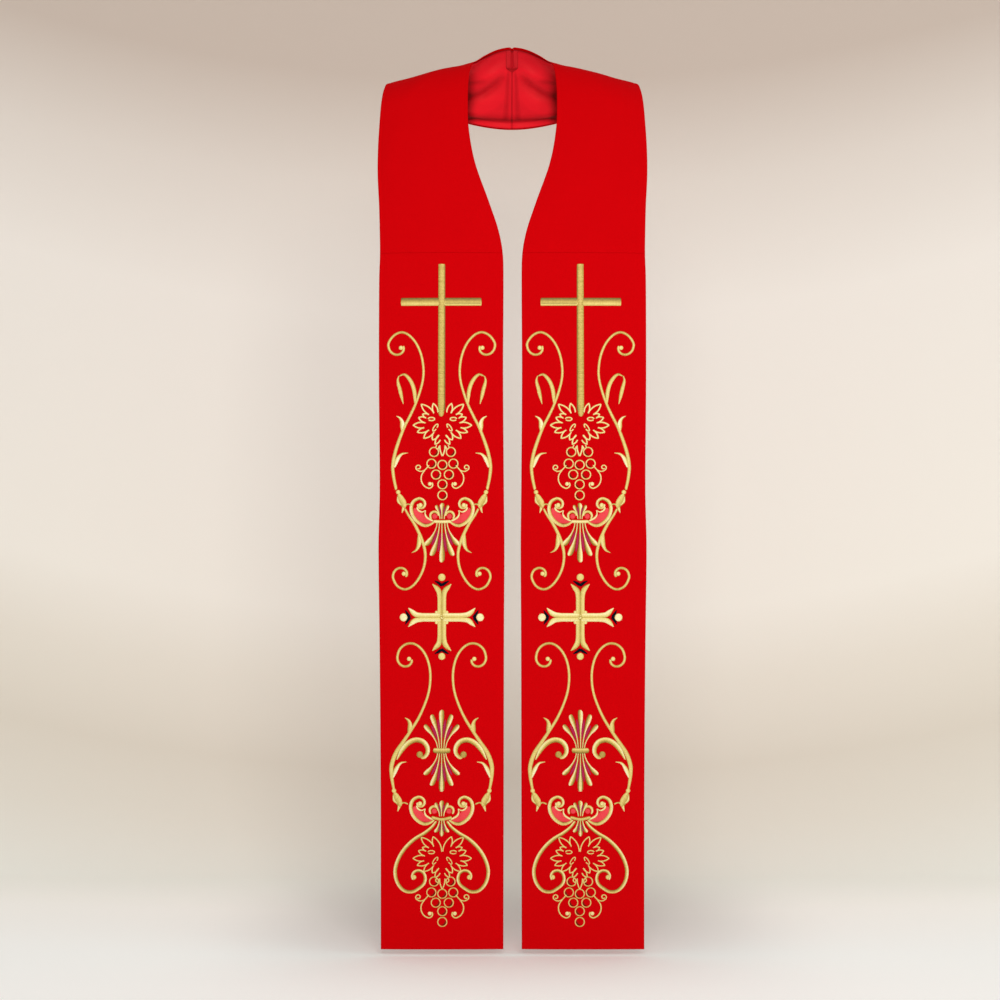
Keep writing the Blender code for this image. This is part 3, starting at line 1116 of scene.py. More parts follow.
@dataclass
class Embroidery:
    """The gold design on one front panel, drawn on an upright axis.

    Its top is the length along the band at the tall cross's head, its line the scrolls' usual width, and
    its grape and crescent the radii of a grape's ring and of the shade inside it.
    """

    side: Side
    top: float = 449.6
    axis_from_neck: dict[Side, float] = field(default_factory=lambda: {Side.RIGHT: 81.0, Side.LEFT: 77.0})
    line: float = 3.3
    grape: float = 5.9
    crescent: float = 3.9

    def tall_cross(self) -> Motif:
        """Draw the tall cross: an upright with a blunt pointed foot over a crossbar with painted light and
        shade.

        Returns:
            The motif.
        """
        bar = {"swing": 0.0, "straight": True, "mirrored": False}
        flat = bar | {"slant": 0.0, "ridge": 0.0}
        runs = [
            # Painted light and shade: the crossbar is lighter on one side, and the dark runs along its edges
            # and beside the upright are painted shade.
            Stitching([(-53.5, 49.8), (52.5, 49.8)], (10.4,), tone=0.47, split=0.24, rise=0.6,
                      ends=(0.15, 0.15), columns=9, speckle=0.12, **flat),
            Stitching([(4.0, 51.6), (52.0, 51.6)], (1.7,), tone=0.2, **bar),
            Stitching([(-53.0, 45.6), (52.0, 45.6)], (2.2,), tone=0.14, rise=0.62, **bar),
            Stitching([(0.2, 0.0), (-0.6, 200.0)], (8.6,) * 12 + (6.8,), tone=0.5, rise=1.0, ends=(0.1, 1.6),
                      columns=11, speckle=0.2, **flat),
            Stitching([(4.3, 2.0), (4.1, 192.0)], (1.3,), tone=0.12, rise=0.5, **bar),
        ]
        return Motif("tall_cross", runs)

    def upper_scrolls(self) -> Motif:
        """Draw the pair of scrolls beside the tall cross, with a folded ribbon leaf and two thorns each.

        Returns:
            The motif.
        """
        stem = [(-59.3, 295.6), (-62.6, 279.9), (-63.9, 264.9), (-61.2, 248.5), (-55.8, 231.0),
                (-48.7, 213.2), (-41.2, 198.5), (-34.6, 184.5), (-28.2, 166.6), (-24.4, 151.0),
                (-23.8, 136.6), (-26.8, 119.0), (-33.6, 103.6), (-43.0, 93.2), (-52.4, 89.6),
                (-62.2, 93.6), (-69.4, 103.6)]
        runs = [
            Stitching(wound(stem, (-56.2, 109.4), -0.62, 6.0),
                      (self.line + 0.5, self.line + 1.4, self.line + 0.5) + (self.line,) * 4),
            disc((-53.2, 109.9), 2.9, tone=0.78),
            Stitching([(-34.2, 185.5), (-35.8, 166.0), (-40.6, 153.1), (-48.6, 144.9), (-55.8, 146.9)],
                      (1.4, 5.0, 5.4, 4.6, 1.4), split=-0.08, tone=0.62),
            Stitching([(-56.0, 146.4), (-57.4, 153.0), (-54.6, 164.4), (-50.0, 183.6)], (1.4, 4.6, 4.8, 0.9),
                      tone=0.6, split=0.1),
            Stitching([(-59.4, 198.9), (-54.2, 202.4), (-51.6, 208.4), (-51.6, 219.0)], (0.8, 4.0, 6.2, 2.4),
                      tone=0.8, split=-0.17),
            Stitching([(-43.9, 247.2), (-51.8, 248.6), (-57.4, 254.4), (-61.8, 266.6)], (0.8, 3.4, 5.6, 2.4),
                      tone=0.82, split=-0.17),
        ]
        return Motif("upper_scrolls", runs)

    def leaf_outline(self, top: float, width: float, tone: float, open_top: bool) -> list[Stitching]:
        """Outline a vine leaf with five pointed lobes a side.

        Args:
            top: height of the leaf's middle.
            width: the outline's width.
            tone: its tone.
            open_top: whether the outline stops beside the cross's foot.

        Returns:
            Its outline, two looped veins, and the stem and its small hook below.
        """
        first = (-5.6, -17.0) if open_top else (-0.6, -9.0)
        tips = [first, (-11.9, -28.9), (-10.9, -15.9), (-27.6, -27.9), (-17.4, -14.2), (-25.9, -14.8),
                (-21.1, -9.8), (-31.0, -10.5), (-22.5, -3.6), (-38.2, -0.5), (-23.5, 2.6), (-32.7, 8.7),
                (-17.4, 5.6), (-24.2, 16.6), (-10.9, 8.4), (-12.9, 18.6), (-4.4, 12.2), (-9.5, 24.4),
                (-2.8, 18.4)]
        outline = [(across, top + down) for across, down in tips]
        thin = {"tone": tone, "swing": 0.08, "rise": 0.5}
        around = np.linspace(0.35, 2 * np.pi + 0.1, 15)
        level = arc((-14.4, top - 8.6), -4.2, 2.1, around)
        slanted = arc((-9.2, top + 2.6), 2.3, 4.6, around)
        slanted[:, 0] -= 0.55 * (slanted[:, 1] - top - 2.6)
        return [
            Stitching(self.bowed(outline), (width,), straight=True, **thin),
            Stitching(level, (width * 0.9,), **thin),
            Stitching(slanted, (width * 0.86,), **thin),
            Stitching([(-3.6, top + 25.6), (-3.0, top + 32.0), (-0.2, top + 40.0)], (width,), **thin),
            Stitching([(-7.4, top + 25.0), (-8.6, top + 28.6), (-5.8, top + 31.0), (-4.6, top + 27.0)],
                      (1.6,), **thin),
        ]

    @staticmethod
    def bowed(points: list[tuple[float, float]], bow: float = 0.13) -> np.ndarray:
        """Join corner points by shallow arcs that all swell to the same hand.

        Each arc leaves its straight line by a parabola, bow times the line's length high.

        Args:
            points: the corners in order.
            bow: the arcs' height as a share of their length.

        Returns:
            Places along the arcs.
        """
        corners = np.array(points)
        share = np.linspace(0, 1, 7)[:-1][:, None, None]
        line = np.diff(corners, axis=0)
        normal = np.stack([-line[:, 1], line[:, 0]], axis=1)
        places = corners[:-1] + line * share + normal * bow * 4 * share * (1 - share)
        return np.concatenate([places.transpose(1, 0, 2).reshape(-1, 2), corners[-1:]])

    def grapes(self, rows: list[tuple[float, float]], curl_at: float, width: float,
               tone: float) -> list[Stitching]:
        """Stitch a bunch of ringed grapes with a tendril on each side.

        Args:
            rows: the grapes' places, those beside the axis mirrored.
            curl_at: height of the tendrils' upper curls.
            width: the rings' width.
            tone: their tone.

        Returns:
            The rings, the crescents of painted shade inside them, and the tendrils.
        """
        runs = []
        for across, down in rows:
            runs.append(ring((across, down), self.grape, width, tone=tone, rise=0.6))
            for hand in ((1, -1) if across else (1,)):
                # Painted shade: a dark crescent inside each ring.
                inside = arc((hand * across, down), self.crescent, self.crescent, np.linspace(-0.5, 1.9, 9))
                runs.append(Stitching(inside, (0.6, 1.9, 2.2, 1.6, 0.5), Thread.SHADE, mirrored=False,
                                      rise=0.12, tone=0.3))
        upper = [(-17.4, curl_at - 4.2), (-23.4, curl_at + 2.4), (-29.0, curl_at + 4.0),
                 (-33.8, curl_at + 1.6)]
        lower = [(-22.8, curl_at + 2.0), (-27.2, curl_at + 9.0), (-27.6, curl_at + 16.0),
                 (-24.4, curl_at + 22.4), (-18.6, curl_at + 26.0)]
        thin = {"tone": tone + 0.06, "swing": 0.12, "rise": 0.5}
        return runs + [
            Stitching(wound(upper, (-31.2, curl_at - 1.2), 1.05, 1.7), (1.7,), **thin),
            Stitching(wound(lower, (-16.6, curl_at + 20.6), -0.42, 3.2), (1.7, 1.8, 1.9, 2.1), **thin),
            disc((-16.4, curl_at + 20.4), 2.6, tone=0.88, rise=0.7),
        ]

    def upper_vine(self) -> Motif:
        """Draw the vine leaf at the cross's foot and the bunch of grapes below it.

        Returns:
            The motif.
        """
        rows = [(-11.0, 246.0), (0.0, 262.9), (-14.3, 261.3), (-8.4, 275.6), (0.0, 288.4), (0.0, 302.6)]
        leaf = self.leaf_outline(211.6, 2.1, 0.82, True)
        return Motif("upper_vine", leaf + self.grapes(rows, 267.4, 1.75, 0.74), 1.0)

    def lower_vine(self) -> Motif:
        """Draw the vine leaf and the bunch of grapes inside the heart scroll.

        Returns:
            The motif.
        """
        rows = [(-10.8, 807.6), (0.0, 823.6), (-14.3, 821.8), (-8.5, 835.2), (0.0, 846.4), (0.0, 860.4)]
        leaf = self.leaf_outline(777.8, 1.7, 0.72, False)
        return Motif("lower_vine", leaf + self.grapes(rows, 829.0, 1.55, 0.64), 0.8)

    def bud(self, top: float, lean: float) -> list[Stitching]:
        """Stitch a bud that ends a stem: a bead, a two-lobed bud, a thorn and a twig.

        Args:
            top: height of the bead.
            lean: how far the bud stands from the axis at its bead.

        Returns:
            Its runs.
        """
        return [
            disc((-lean, top), 3.0, tone=0.72),
            Stitching([(-lean, top + 2.4), (-lean + 2.6, top + 8.6), (-lean + 6.6, top + 14.4),
                       (-lean + 8.8, top + 21.0)], (4.0, 9.6, 9.0, 4.2), tone=0.52, split=-0.12, rise=0.9,
                      columns=9),
            Stitching([(-lean - 0.6, top + 5.6), (-lean + 0.6, top + 12.4), (-lean + 4.6, top + 17.0)],
                      (2.0, 4.0, 1.4), tone=0.74),
            Stitching([(-lean + 7.0, top + 15.4), (-lean + 6.8, top + 21.0), (-lean + 4.8, top + 27.4)],
                      (3.6, 3.8, 0.8), tone=0.7),
            Stitching([(-lean + 8.4, top + 17.8), (-lean + 12.6, top + 15.6), (-lean + 18.6, top + 17.4)],
                      (3.0, 2.0, 2.4), tone=0.64),
        ]

    def acanthus(self, drop: float) -> list[Stitching]:
        """Stitch a C-shaped scroll cupped round a pink leaf.

        Args:
            drop: height of the scroll's own top.

        Returns:
            Its runs, the pink first, since the gold lies over it.
        """
        body = [(-9.6, 29.6), (-16.0, 33.8), (-22.6, 35.0), (-29.2, 32.3), (-35.2, 26.9), (-39.2, 19.8),
                (-40.3, 11.3), (-37.4, 3.9), (-31.0, 0.2)]
        pink = [(-36.6, 12.4), (-33.6, 19.4), (-27.6, 25.0), (-19.6, 28.8), (-12.6, 31.0)]
        edge = [(-33.4, 11.3), (-30.6, 15.6), (-26.0, 17.4), (-21.4, 15.2), (-22.4, 19.6), (-20.4, 24.2),
                (-15.8, 27.4), (-11.4, 29.2)]
        lift = np.array((0.0, drop))
        pale = {"tone": 0.86, "swing": 0.05, "rise": 0.6}
        return [
            Stitching(np.array(pink) + lift, (2.6, 9.4, 12.0, 8.0, 2.4), Thread.PINK, rise=0.35, columns=9,
                      speckle=0.12, tone=0.55),
            Stitching(np.array(edge[:4]) + lift, (2.4, 2.6, 2.0, 0.9), **pale),
            Stitching(np.array(edge[3:]) + lift, (0.9, 2.8, 2.4), **pale),
            Stitching(wound(body, (-28.4, 8.0), 0.86, 2.9) + lift, (2.6, 4.4, 4.9, 5.0, 4.7, 4.0, 3.6, 3.2),
                      tone=0.68, split=-0.2, rise=0.85),
            disc((-28.4, drop + 8.6), 3.0, tone=0.8),
        ]

    def small_curls(self, top: float) -> list[Stitching]:
        """Stitch the small C curls beside a waist band, each round a pink bead.

        Args:
            top: height of the curls' middles.

        Returns:
            Their runs.
        """
        c_shape = arc((-10.0, top), 5.4, 5.4, np.linspace(2.3, 6.3, 15))
        return [
            disc((-9.6, top + 0.6), 3.5, thread=Thread.PINK, rise=0.5, tone=0.55),
            Stitching(c_shape, (2.4, 3.4, 3.6, 2.6), tone=0.7, split=-0.12),
        ]

    @staticmethod
    def sway(foot: float, waist: float, across: float, down: float, part: np.ndarray) -> np.ndarray:
        """Return places on a stem that leaves the waist upright and swings out as a power of its length."""
        return np.stack([foot + (across - foot) * part**1.7, waist + (down - waist) * part], axis=1)

    def fan(self, waist: float, petals: list[tuple[float, float, float, float]]) -> list[Stitching]:
        """Stitch a fan of drop-shaped petals with plum slivers between them.

        Args:
            waist: height where their stems meet.
            petals: for each, how far out its stem starts, its tip's place across and down, and its width.

        Returns:
            The slivers first, then the petals from the outside in.
        """
        runs, slivers = [], []
        for foot, across, down, width in petals:
            runs.append(Stitching(self.sway(foot, waist, across, down, np.linspace(0, 1, 6)),
                                  (1.7, 1.9, 2.3, width * 0.52, width * 0.88, width * 0.8),
                                  tone=0.63, split=0.34 if down > waist else -0.34, swing=0.04, rise=0.85,
                                  ends=(1.0, 1.15), mirrored=across != 0, columns=7))
        for outer, inner in zip(petals, petals[1:]):
            foot, across, down = (np.add(outer, inner) / 2)[:3]
            slivers.append(Stitching(self.sway(foot, waist, across, down, np.linspace(0.28, 0.8, 4)),
                                     (0.8, 2.6, 3.4, 1.2), Thread.PLUM, rise=0.25, speckle=0.14, tone=0.5))
        return slivers + runs

    def crest(self, top: float, waist: float) -> list[Stitching]:
        """Stitch the small three-petalled crest above a waist band."""
        return self.fan(waist, [(-2.4, -8.4, top + 2.6, 5.0), (0.0, 0.0, top - 0.4, 6.8)])

    def upper_palmette(self) -> Motif:
        """Draw the buds, cupped scrolls, crest, waist band and downward fan of the upper palmette.

        Returns:
            The motif.
        """
        fan = self.fan(338.0, [(-6.2, -22.0, 368.6, 7.6), (-3.1, -14.0, 382.0, 7.9), (0.0, 0.0, 390.4, 8.4)])
        runs = self.acanthus(307.0) + self.crest(313.0, 334.0) + self.small_curls(329.6) + fan
        runs.append(Stitching([(-11.8, 336.8), (0.0, 337.2), (11.8, 336.8)], (4.4,), tone=0.84, swing=0.0,
                              rise=1.3, mirrored=False, slant=0.0))
        return Motif("upper_palmette", self.bud(298.6, 57.4) + runs, 0.6)

    def lower_scrolls(self) -> Motif:
        """Draw the pair of scrolls that curl out under the upper palmette, each with one thorn.

        Returns:
            The motif.
        """
        stem = [(-48.2, 320.0), (-43.4, 328.6), (-36.6, 338.6), (-30.8, 349.4), (-25.6, 361.6),
                (-22.2, 373.4), (-21.4, 384.4), (-23.6, 397.6), (-29.4, 410.6), (-37.8, 421.0),
                (-47.6, 425.6), (-57.6, 421.6), (-63.4, 411.4)]
        runs = [
            Stitching(wound(stem, (-51.8, 406.4), 0.66, 5.6),
                      (2.8, self.line + 1.2, self.line + 0.4) + (self.line,) * 3),
            disc((-49.4, 405.2), 2.9, tone=0.8),
            Stitching([(-39.4, 377.9), (-33.0, 374.0), (-29.6, 366.0), (-30.0, 353.0)], (0.8, 4.0, 6.0, 2.4),
                      tone=0.66, split=0.14),
        ]
        return Motif("lower_scrolls", runs)

    def flared_cross(self) -> Motif:
        """Draw the four-armed cross: half an arm, turned and mirrored, with navy tips and gold beads.

        Returns:
            The motif.
        """
        arm = np.array([(-2.7, -1.0), (-2.7, -16.0), (-2.8, -27.0), (-4.4, -35.0), (-12.4, -43.9)])
        tip = np.array([(0.5, -41.4), (-3.8, -44.6), (-9.6, -47.9)])
        centre = np.array((0.2, 462.3))
        runs = [disc(tuple(centre), 3.4, tone=0.8, rise=0.7, mirrored=False),
                disc((-6.7, centre[1] - 6.7), 2.2, tone=0.8, rise=0.7),
                disc((-6.7, centre[1] + 6.7), 2.2, tone=0.8, rise=0.7)]
        end_beads = ((4.9, 0.72, 52.4), (5.2, 0.95, 50.0), (4.7, 0.74, 51.0), (5.2, 0.95, 50.0))
        for quarter, (radius, tone, reach) in enumerate(end_beads):
            angle = quarter * np.pi / 2
            turn = np.array(((np.cos(angle), -np.sin(angle)), (np.sin(angle), np.cos(angle))))
            shine = 0.66 if quarter % 2 == 0 else 0.84
            for hand in (1, -1):
                flip = np.array((hand, 1.0))
                runs.append(Stitching(tip * flip @ turn.T + centre, (4.3, 3.7, 0.8), Thread.NAVY,
                                      mirrored=False, rise=0.5))
                runs.append(Stitching(arm * flip @ turn.T + centre, (6.2, 6.0, 6.0, 6.4, 6.6, 0.9),
                                      tone=shine, split=-0.1 * hand, swing=0.06, rise=1.0, mirrored=False,
                                      columns=7))
            bead_at = np.array((0.0, -reach)) @ turn.T + centre
            runs.append(disc(tuple(bead_at), radius, tone=tone, mirrored=False))
        coil = wound([tuple(centre + (3.4, 0.0))], tuple(centre), 1.2, 1.0)
        runs.append(Stitching(coil, (1.5,), tone=0.42, rise=1.25, mirrored=False))
        return Motif("flared_cross", runs)

    def long_scrolls(self) -> Motif:
        """Draw the long pair of scrolls below the flared cross, with two thorns and a thick curl each.

        Returns:
            The motif.
        """
        stem = [(-62.4, 688.0), (-64.0, 680.0), (-65.7, 667.0), (-65.2, 655.0), (-59.8, 639.8),
                (-49.8, 624.4), (-39.8, 609.4), (-30.6, 594.6), (-22.6, 577.4), (-17.0, 560.4),
                (-14.8, 544.2), (-15.6, 528.6), (-19.8, 514.0), (-27.0, 503.0), (-36.4, 496.8),
                (-46.2, 497.2), (-54.4, 503.6), (-57.8, 513.2)]
        runs = [
            Stitching(wound(stem, (-45.8, 517.4), -0.56, 6.6), (3.4, 6.0, 4.4, 3.5) + (self.line,) * 4),
            disc((-42.6, 516.6), 2.9, tone=0.8),
            Stitching([(-48.4, 593.4), (-43.2, 597.6), (-41.4, 604.4), (-43.2, 614.6)], (0.8, 4.4, 6.2, 2.2),
                      tone=0.58, split=-0.18),
            Stitching([(-45.8, 651.1), (-53.6, 652.9), (-59.2, 660.2), (-63.8, 672.4)], (0.8, 3.4, 5.6, 2.2),
                      tone=0.82, split=-0.17),
            Stitching([(-58.6, 648.6), (-51.4, 635.4), (-43.4, 626.6), (-34.2, 622.6), (-25.0, 624.4),
                       (-19.2, 631.0), (-18.4, 638.8), (-22.4, 644.6), (-27.6, 645.8)],
                      (1.6, 5.2, 6.6, 6.8, 6.4, 5.4, 4.4), tone=0.66, split=-0.24, rise=1.0, columns=7),
            disc((-28.6, 641.6), 4.3, tone=0.42),
        ]
        return Motif("long_scrolls", runs)

    def double_palmette(self) -> Motif:
        """Draw the palmette with petals both ways out of a barrel band.

        Returns:
            The motif.
        """
        up = [(-5.0, -22.8, 603.0, 6.8), (-2.6, -13.6, 589.4, 7.2), (0.0, 0.0, 583.0, 7.6)]
        down = [(-5.0, -22.6, 668.4, 6.8), (-2.6, -13.4, 682.6, 7.2), (0.0, 0.4, 690.0, 7.8)]
        barrel = Stitching([(-11.4, 636.2), (0.0, 636.8), (11.4, 636.2)], (6.2, 7.4, 6.2), tone=0.5,
                           split=-0.18, swing=0.0, rise=1.6, mirrored=False, columns=9, ends=(0.7, 0.7),
                           slant=0.0)
        return Motif("double_palmette", self.fan(633.5, up) + self.fan(639.5, down) + [barrel])

    def lower_palmette(self) -> Motif:
        """Draw the lower buds, cupped scrolls, crest, band and the short petals below it.

        Returns:
            The motif.
        """
        short = self.fan(727.0, [(-2.6, -8.4, 743.6, 5.6), (0.0, 0.6, 748.4, 6.0)])
        runs = self.bud(689.0, 62.4) + self.acanthus(697.2) + self.crest(702.0, 722.5)
        runs += self.small_curls(715.0) + short
        runs.append(Stitching([(-13.6, 723.6), (0.0, 726.4), (13.6, 723.6)], (4.2,), tone=0.6, swing=0.0,
                              rise=1.3, mirrored=False, slant=0.0))
        return Motif("lower_palmette", runs)

    def heart_scroll(self) -> Motif:
        """Draw the thick heart of scrolls round the lower vine, lighter on one side with painted light and
        shade.

        Returns:
            The motif.
        """
        stem = [(-6.8, 728.6), (-12.8, 736.4), (-22.4, 744.2), (-35.6, 752.4), (-47.4, 763.6),
                (-56.6, 778.2), (-60.8, 794.4), (-57.6, 809.4), (-49.0, 819.2), (-38.4, 820.8),
                (-28.6, 815.4), (-23.2, 810.2), (-21.4, 803.4), (-23.6, 796.6), (-29.4, 793.4),
                (-35.4, 795.0), (-38.2, 800.0), (-36.8, 805.2)]
        runs = [
            Stitching(stem, (3.2, 4.5, 4.8, 4.8, 4.6, 4.3, 4.0, 3.6), tone=0.6, split=0.26, rise=1.0,
                      columns=7),
            disc((-36.2, 802.0), 3.2, tone=0.7),
        ]
        return Motif("heart_scroll", runs)

    def motifs(self) -> list[Motif]:
        """Draw the whole design.

        Returns:
            Its motifs from the top down.
        """
        return [self.tall_cross(), self.upper_scrolls(), self.upper_vine(), self.upper_palmette(),
                self.lower_scrolls(), self.flared_cross(), self.long_scrolls(), self.double_palmette(),
                self.lower_palmette(), self.heart_scroll(), self.lower_vine()]

    def laid(self, motif: Motif) -> MeshData:
        """Lay a motif on the cloth.

        Its axis runs straight down the panel, at a set distance from where the neck edge mostly lies.

        Args:
            motif: the motif in its flat places.

        Returns:
            The same mesh on the band's face.
        """
        flat = motif.data()
        across, down, depth = flat.points.T
        length = self.top + down
        neck, outer = FORM.edges(length)
        mean_neck = FORM.neck[CROSS_SEAM_ROW:, 0].mean()
        x = mean_neck + self.axis_from_neck[self.side] - across
        share = (x - neck[:, 0]) / (outer[:, 0] - neck[:, 0])
        flat.points = FORM.place(self.side, length, share, depth)
        if self.side is Side.RIGHT:
            flat.faces = flat.faces[:, ::-1]
        return flat


# ---------------------------------------------------------------- finishes

Colour = tuple[float, float, float]
FLOAT, VECTOR = "NodeSocketFloat", "NodeSocketVector"
# The colour sockets of a Mix node, whose names it gives to other kinds of value too.
MIX_SHARE, MIX_FIRST, MIX_SECOND, MIX_RESULT = 0, 6, 7, 2


@dataclass
class Nodes:
    """A short way to add and join shader nodes in one tree."""

    tree: bpy.types.NodeTree

    def give(self, node: bpy.types.Node, inputs: dict[str | int, object]) -> None:
        """Give a node's inputs their values, or join them to the output sockets that feed them.

        Args:
            node: the node.
            inputs: for each input, its value or output socket.
        """
        for name, value in inputs.items():
            if isinstance(value, bpy.types.NodeSocket):
                self.tree.links.new(value, node.inputs[name])
            else:
                node.inputs[name].default_value = value

    def add(self, kind: str, inputs: dict[str | int, object] | None = None,
            **settings: object) -> bpy.types.Node:
        """Add a node.

        Args:
            kind: the node's type name.
            inputs: for each input, its value or the output socket that feeds it.
            settings: the node's own settings.

        Returns:
            The node.
        """
        node = self.tree.nodes.new(kind)
        for name, value in settings.items():
            setattr(node, name, value)
        self.give(node, inputs or {})
        return node

    def shade(self, inputs: dict[str, object]) -> None:
        """Give the Principled shader its inputs."""
        self.give(self.tree.nodes["Principled BSDF"], inputs)

    def written(self, label: str) -> bpy.types.NodeSocket:
        """Read a value that is written on the mesh's points."""
        return self.add("ShaderNodeAttribute", attribute_name=label).outputs["Fac"]

    def chart(self) -> bpy.types.NodeSocket:
        """Read the lengths across and along the cloth."""
        return self.add("ShaderNodeUVMap", uv_map="cloth").outputs["UV"]

    def math(self, operation: str, *values: object) -> bpy.types.NodeSocket:
        """Add a Math node and return its output."""
        return self.add("ShaderNodeMath", dict(enumerate(values)), operation=operation).outputs[0]

    def mixed(self, share: object, first: object, second: object) -> bpy.types.NodeSocket:
        """Mix two colours and return the result."""
        inputs = {MIX_SHARE: share, MIX_FIRST: first, MIX_SECOND: second}
        return self.add("ShaderNodeMix", inputs, data_type="RGBA").outputs[MIX_RESULT]

    def ramp(self, share: object, stops: tuple[tuple[float, Colour], ...]) -> bpy.types.NodeSocket:
        """Read colours along a ramp.

        Args:
            share: the place to read, from 0 to 1.
            stops: the ramp's places and their colours.

        Returns:
            The colour's output socket.
        """
        node = self.add("ShaderNodeValToRGB", {0: share})
        elements = node.color_ramp.elements
        for place, _colour in stops[2:]:
            elements.new(place)
        for element, (place, colour) in zip(elements, sorted(stops)):
            element.position = place
            element.color = (*colour, 1.0)
        return node.outputs[0]


def new_group(name: str, inputs: dict[str, tuple[str, object]],
              outputs: dict[str, str]) -> bpy.types.NodeTree:
    """Make an empty shader node group with named sockets.

    Args:
        name: the group's name.
        inputs: for each input, its socket type and its value.
        outputs: for each output, its socket type.

    Returns:
        The group, with its Group Input and Group Output nodes.
    """
    group = bpy.data.node_groups.new(name, "ShaderNodeTree")
    for label, (kind, value) in inputs.items():
        socket = group.interface.new_socket(label, in_out="INPUT", socket_type=kind)
        if value is not None:
            socket.default_value = value
    for label, kind in outputs.items():
        group.interface.new_socket(label, in_out="OUTPUT", socket_type=kind)
    group.nodes.new("NodeGroupInput")
    group.nodes.new("NodeGroupOutput")
    return group


def new_material(name: str) -> tuple[bpy.types.Material, Nodes]:
    """Make a material.

    Args:
        name: its name.

    Returns:
        The material, and the short way to add to its nodes.
    """
    made = bpy.data.materials.new(name)
    made.use_nodes = True
    return made, Nodes(made.node_tree)


def weave_group() -> bpy.types.NodeTree:
    """Build the plain weave shared by the cloths.

    Warp and weft are two sine waves along the chart's two directions. Their product is a chequer of
    threads that pass over and under, and stretched noise makes some threads thicker.

    Returns:
        A group that puts out the weave's height, a slub mask and a soft mottle.
    """
    inputs = {"Chart": (VECTOR, None), "Threads per metre": (FLOAT, 1800.0), "Slub": (FLOAT, 0.5)}
    group = new_group("weave", inputs, {"Height": FLOAT, "Slub": FLOAT, "Mottle": FLOAT})
    nodes = Nodes(group)
    start, end = group.nodes["Group Input"], group.nodes["Group Output"]
    split = nodes.add("ShaderNodeSeparateXYZ", {0: start.outputs["Chart"]})
    turn = nodes.math("MULTIPLY", start.outputs["Threads per metre"], math.pi)
    warp = nodes.math("SINE", nodes.math("MULTIPLY", split.outputs["X"], turn))
    weft = nodes.math("SINE", nodes.math("MULTIPLY", split.outputs["Y"], turn))
    chequer = nodes.math("MULTIPLY", warp, weft)
    slubs = []
    for scale in ((900.0, 14.0, 1.0), (14.0, 900.0, 1.0)):
        stretched = nodes.add("ShaderNodeMapping", {"Vector": start.outputs["Chart"], "Scale": scale})
        noise = nodes.add("ShaderNodeTexNoise", {"Vector": stretched.outputs[0], "Scale": 1.0,
                                                 "Detail": 2.0})
        slubs.append(noise.outputs["Fac"])
    slub = nodes.math("MULTIPLY", nodes.math("ADD", *slubs), 0.5)
    height = nodes.math("ADD", chequer, nodes.math("MULTIPLY", slub, start.outputs["Slub"]))
    cloudy = nodes.add("ShaderNodeTexNoise", {"Vector": start.outputs["Chart"], "Scale": 22.0,
                                              "Detail": 3.0})
    nodes.give(end, {"Height": height, "Slub": slub, "Mottle": cloudy.outputs["Fac"]})
    return group


@dataclass(frozen=True)
class ClothFinish:
    """The finish of a cloth: its colour and how its weave and its light lie."""

    name: str
    colour: Colour
    # The darker colour that the slub, the mottle and the painted shade mix in.
    shade: Colour
    roughness: float
    specular: float
    threads: float
    bump: float
    mottle: float
    # How dark the painted shade along the rounded edge is, and how far in it reaches.
    rim: float = 0.5
    rim_width: float = 1.4
    slub: float = 1.4
    weave_depth: float = 0.0001
    specular_tint: Colour = (1.0, 0.25, 0.2)

    def material(self, weave: bpy.types.NodeTree) -> bpy.types.Material:
        """Build the material.

        The slub and the mottle darken the colour a little, painted shade darkens it at the rounded edge and
        in the hollows of the folds, and the weave lifts the normal.

        Args:
            weave: the weave's node group.

        Returns:
            The material.
        """
        made, nodes = new_material(self.name)
        cloth = nodes.add("ShaderNodeGroup", {"Chart": nodes.chart(), "Threads per metre": self.threads},
                          node_tree=weave)
        # Painted shade along the rounded edge, strongest at the rim and gone a rim width in.
        painted_rim_shade = nodes.add("ShaderNodeMapRange", {"Value": nodes.written("from_edge"), "From Min": 0.0,
                                                "From Max": self.rim_width, "To Min": self.rim,
                                                "To Max": 0.0}).outputs[0]
        varied = nodes.math("ADD", nodes.math("MULTIPLY", cloth.outputs["Mottle"], self.mottle),
                            nodes.math("MULTIPLY", cloth.outputs["Slub"], self.mottle * self.slub))
        painted_shading = nodes.math("ADD", painted_rim_shade, nodes.written("hollow"))
        share = nodes.add("ShaderNodeMath", {0: varied, 1: painted_shading}, operation="ADD", use_clamp=True).outputs[0]
        bump = nodes.add("ShaderNodeBump", {"Height": cloth.outputs["Height"], "Strength": self.bump,
                                            "Distance": self.weave_depth})
        nodes.shade({
            "Base Color": nodes.mixed(share, (*self.colour, 1.0), (*self.shade, 1.0)),
            "Normal": bump.outputs[0],
            "Roughness": self.roughness,
            "Specular IOR Level": self.specular,
            "Specular Tint": (*self.specular_tint, 1.0),
        })
        return made


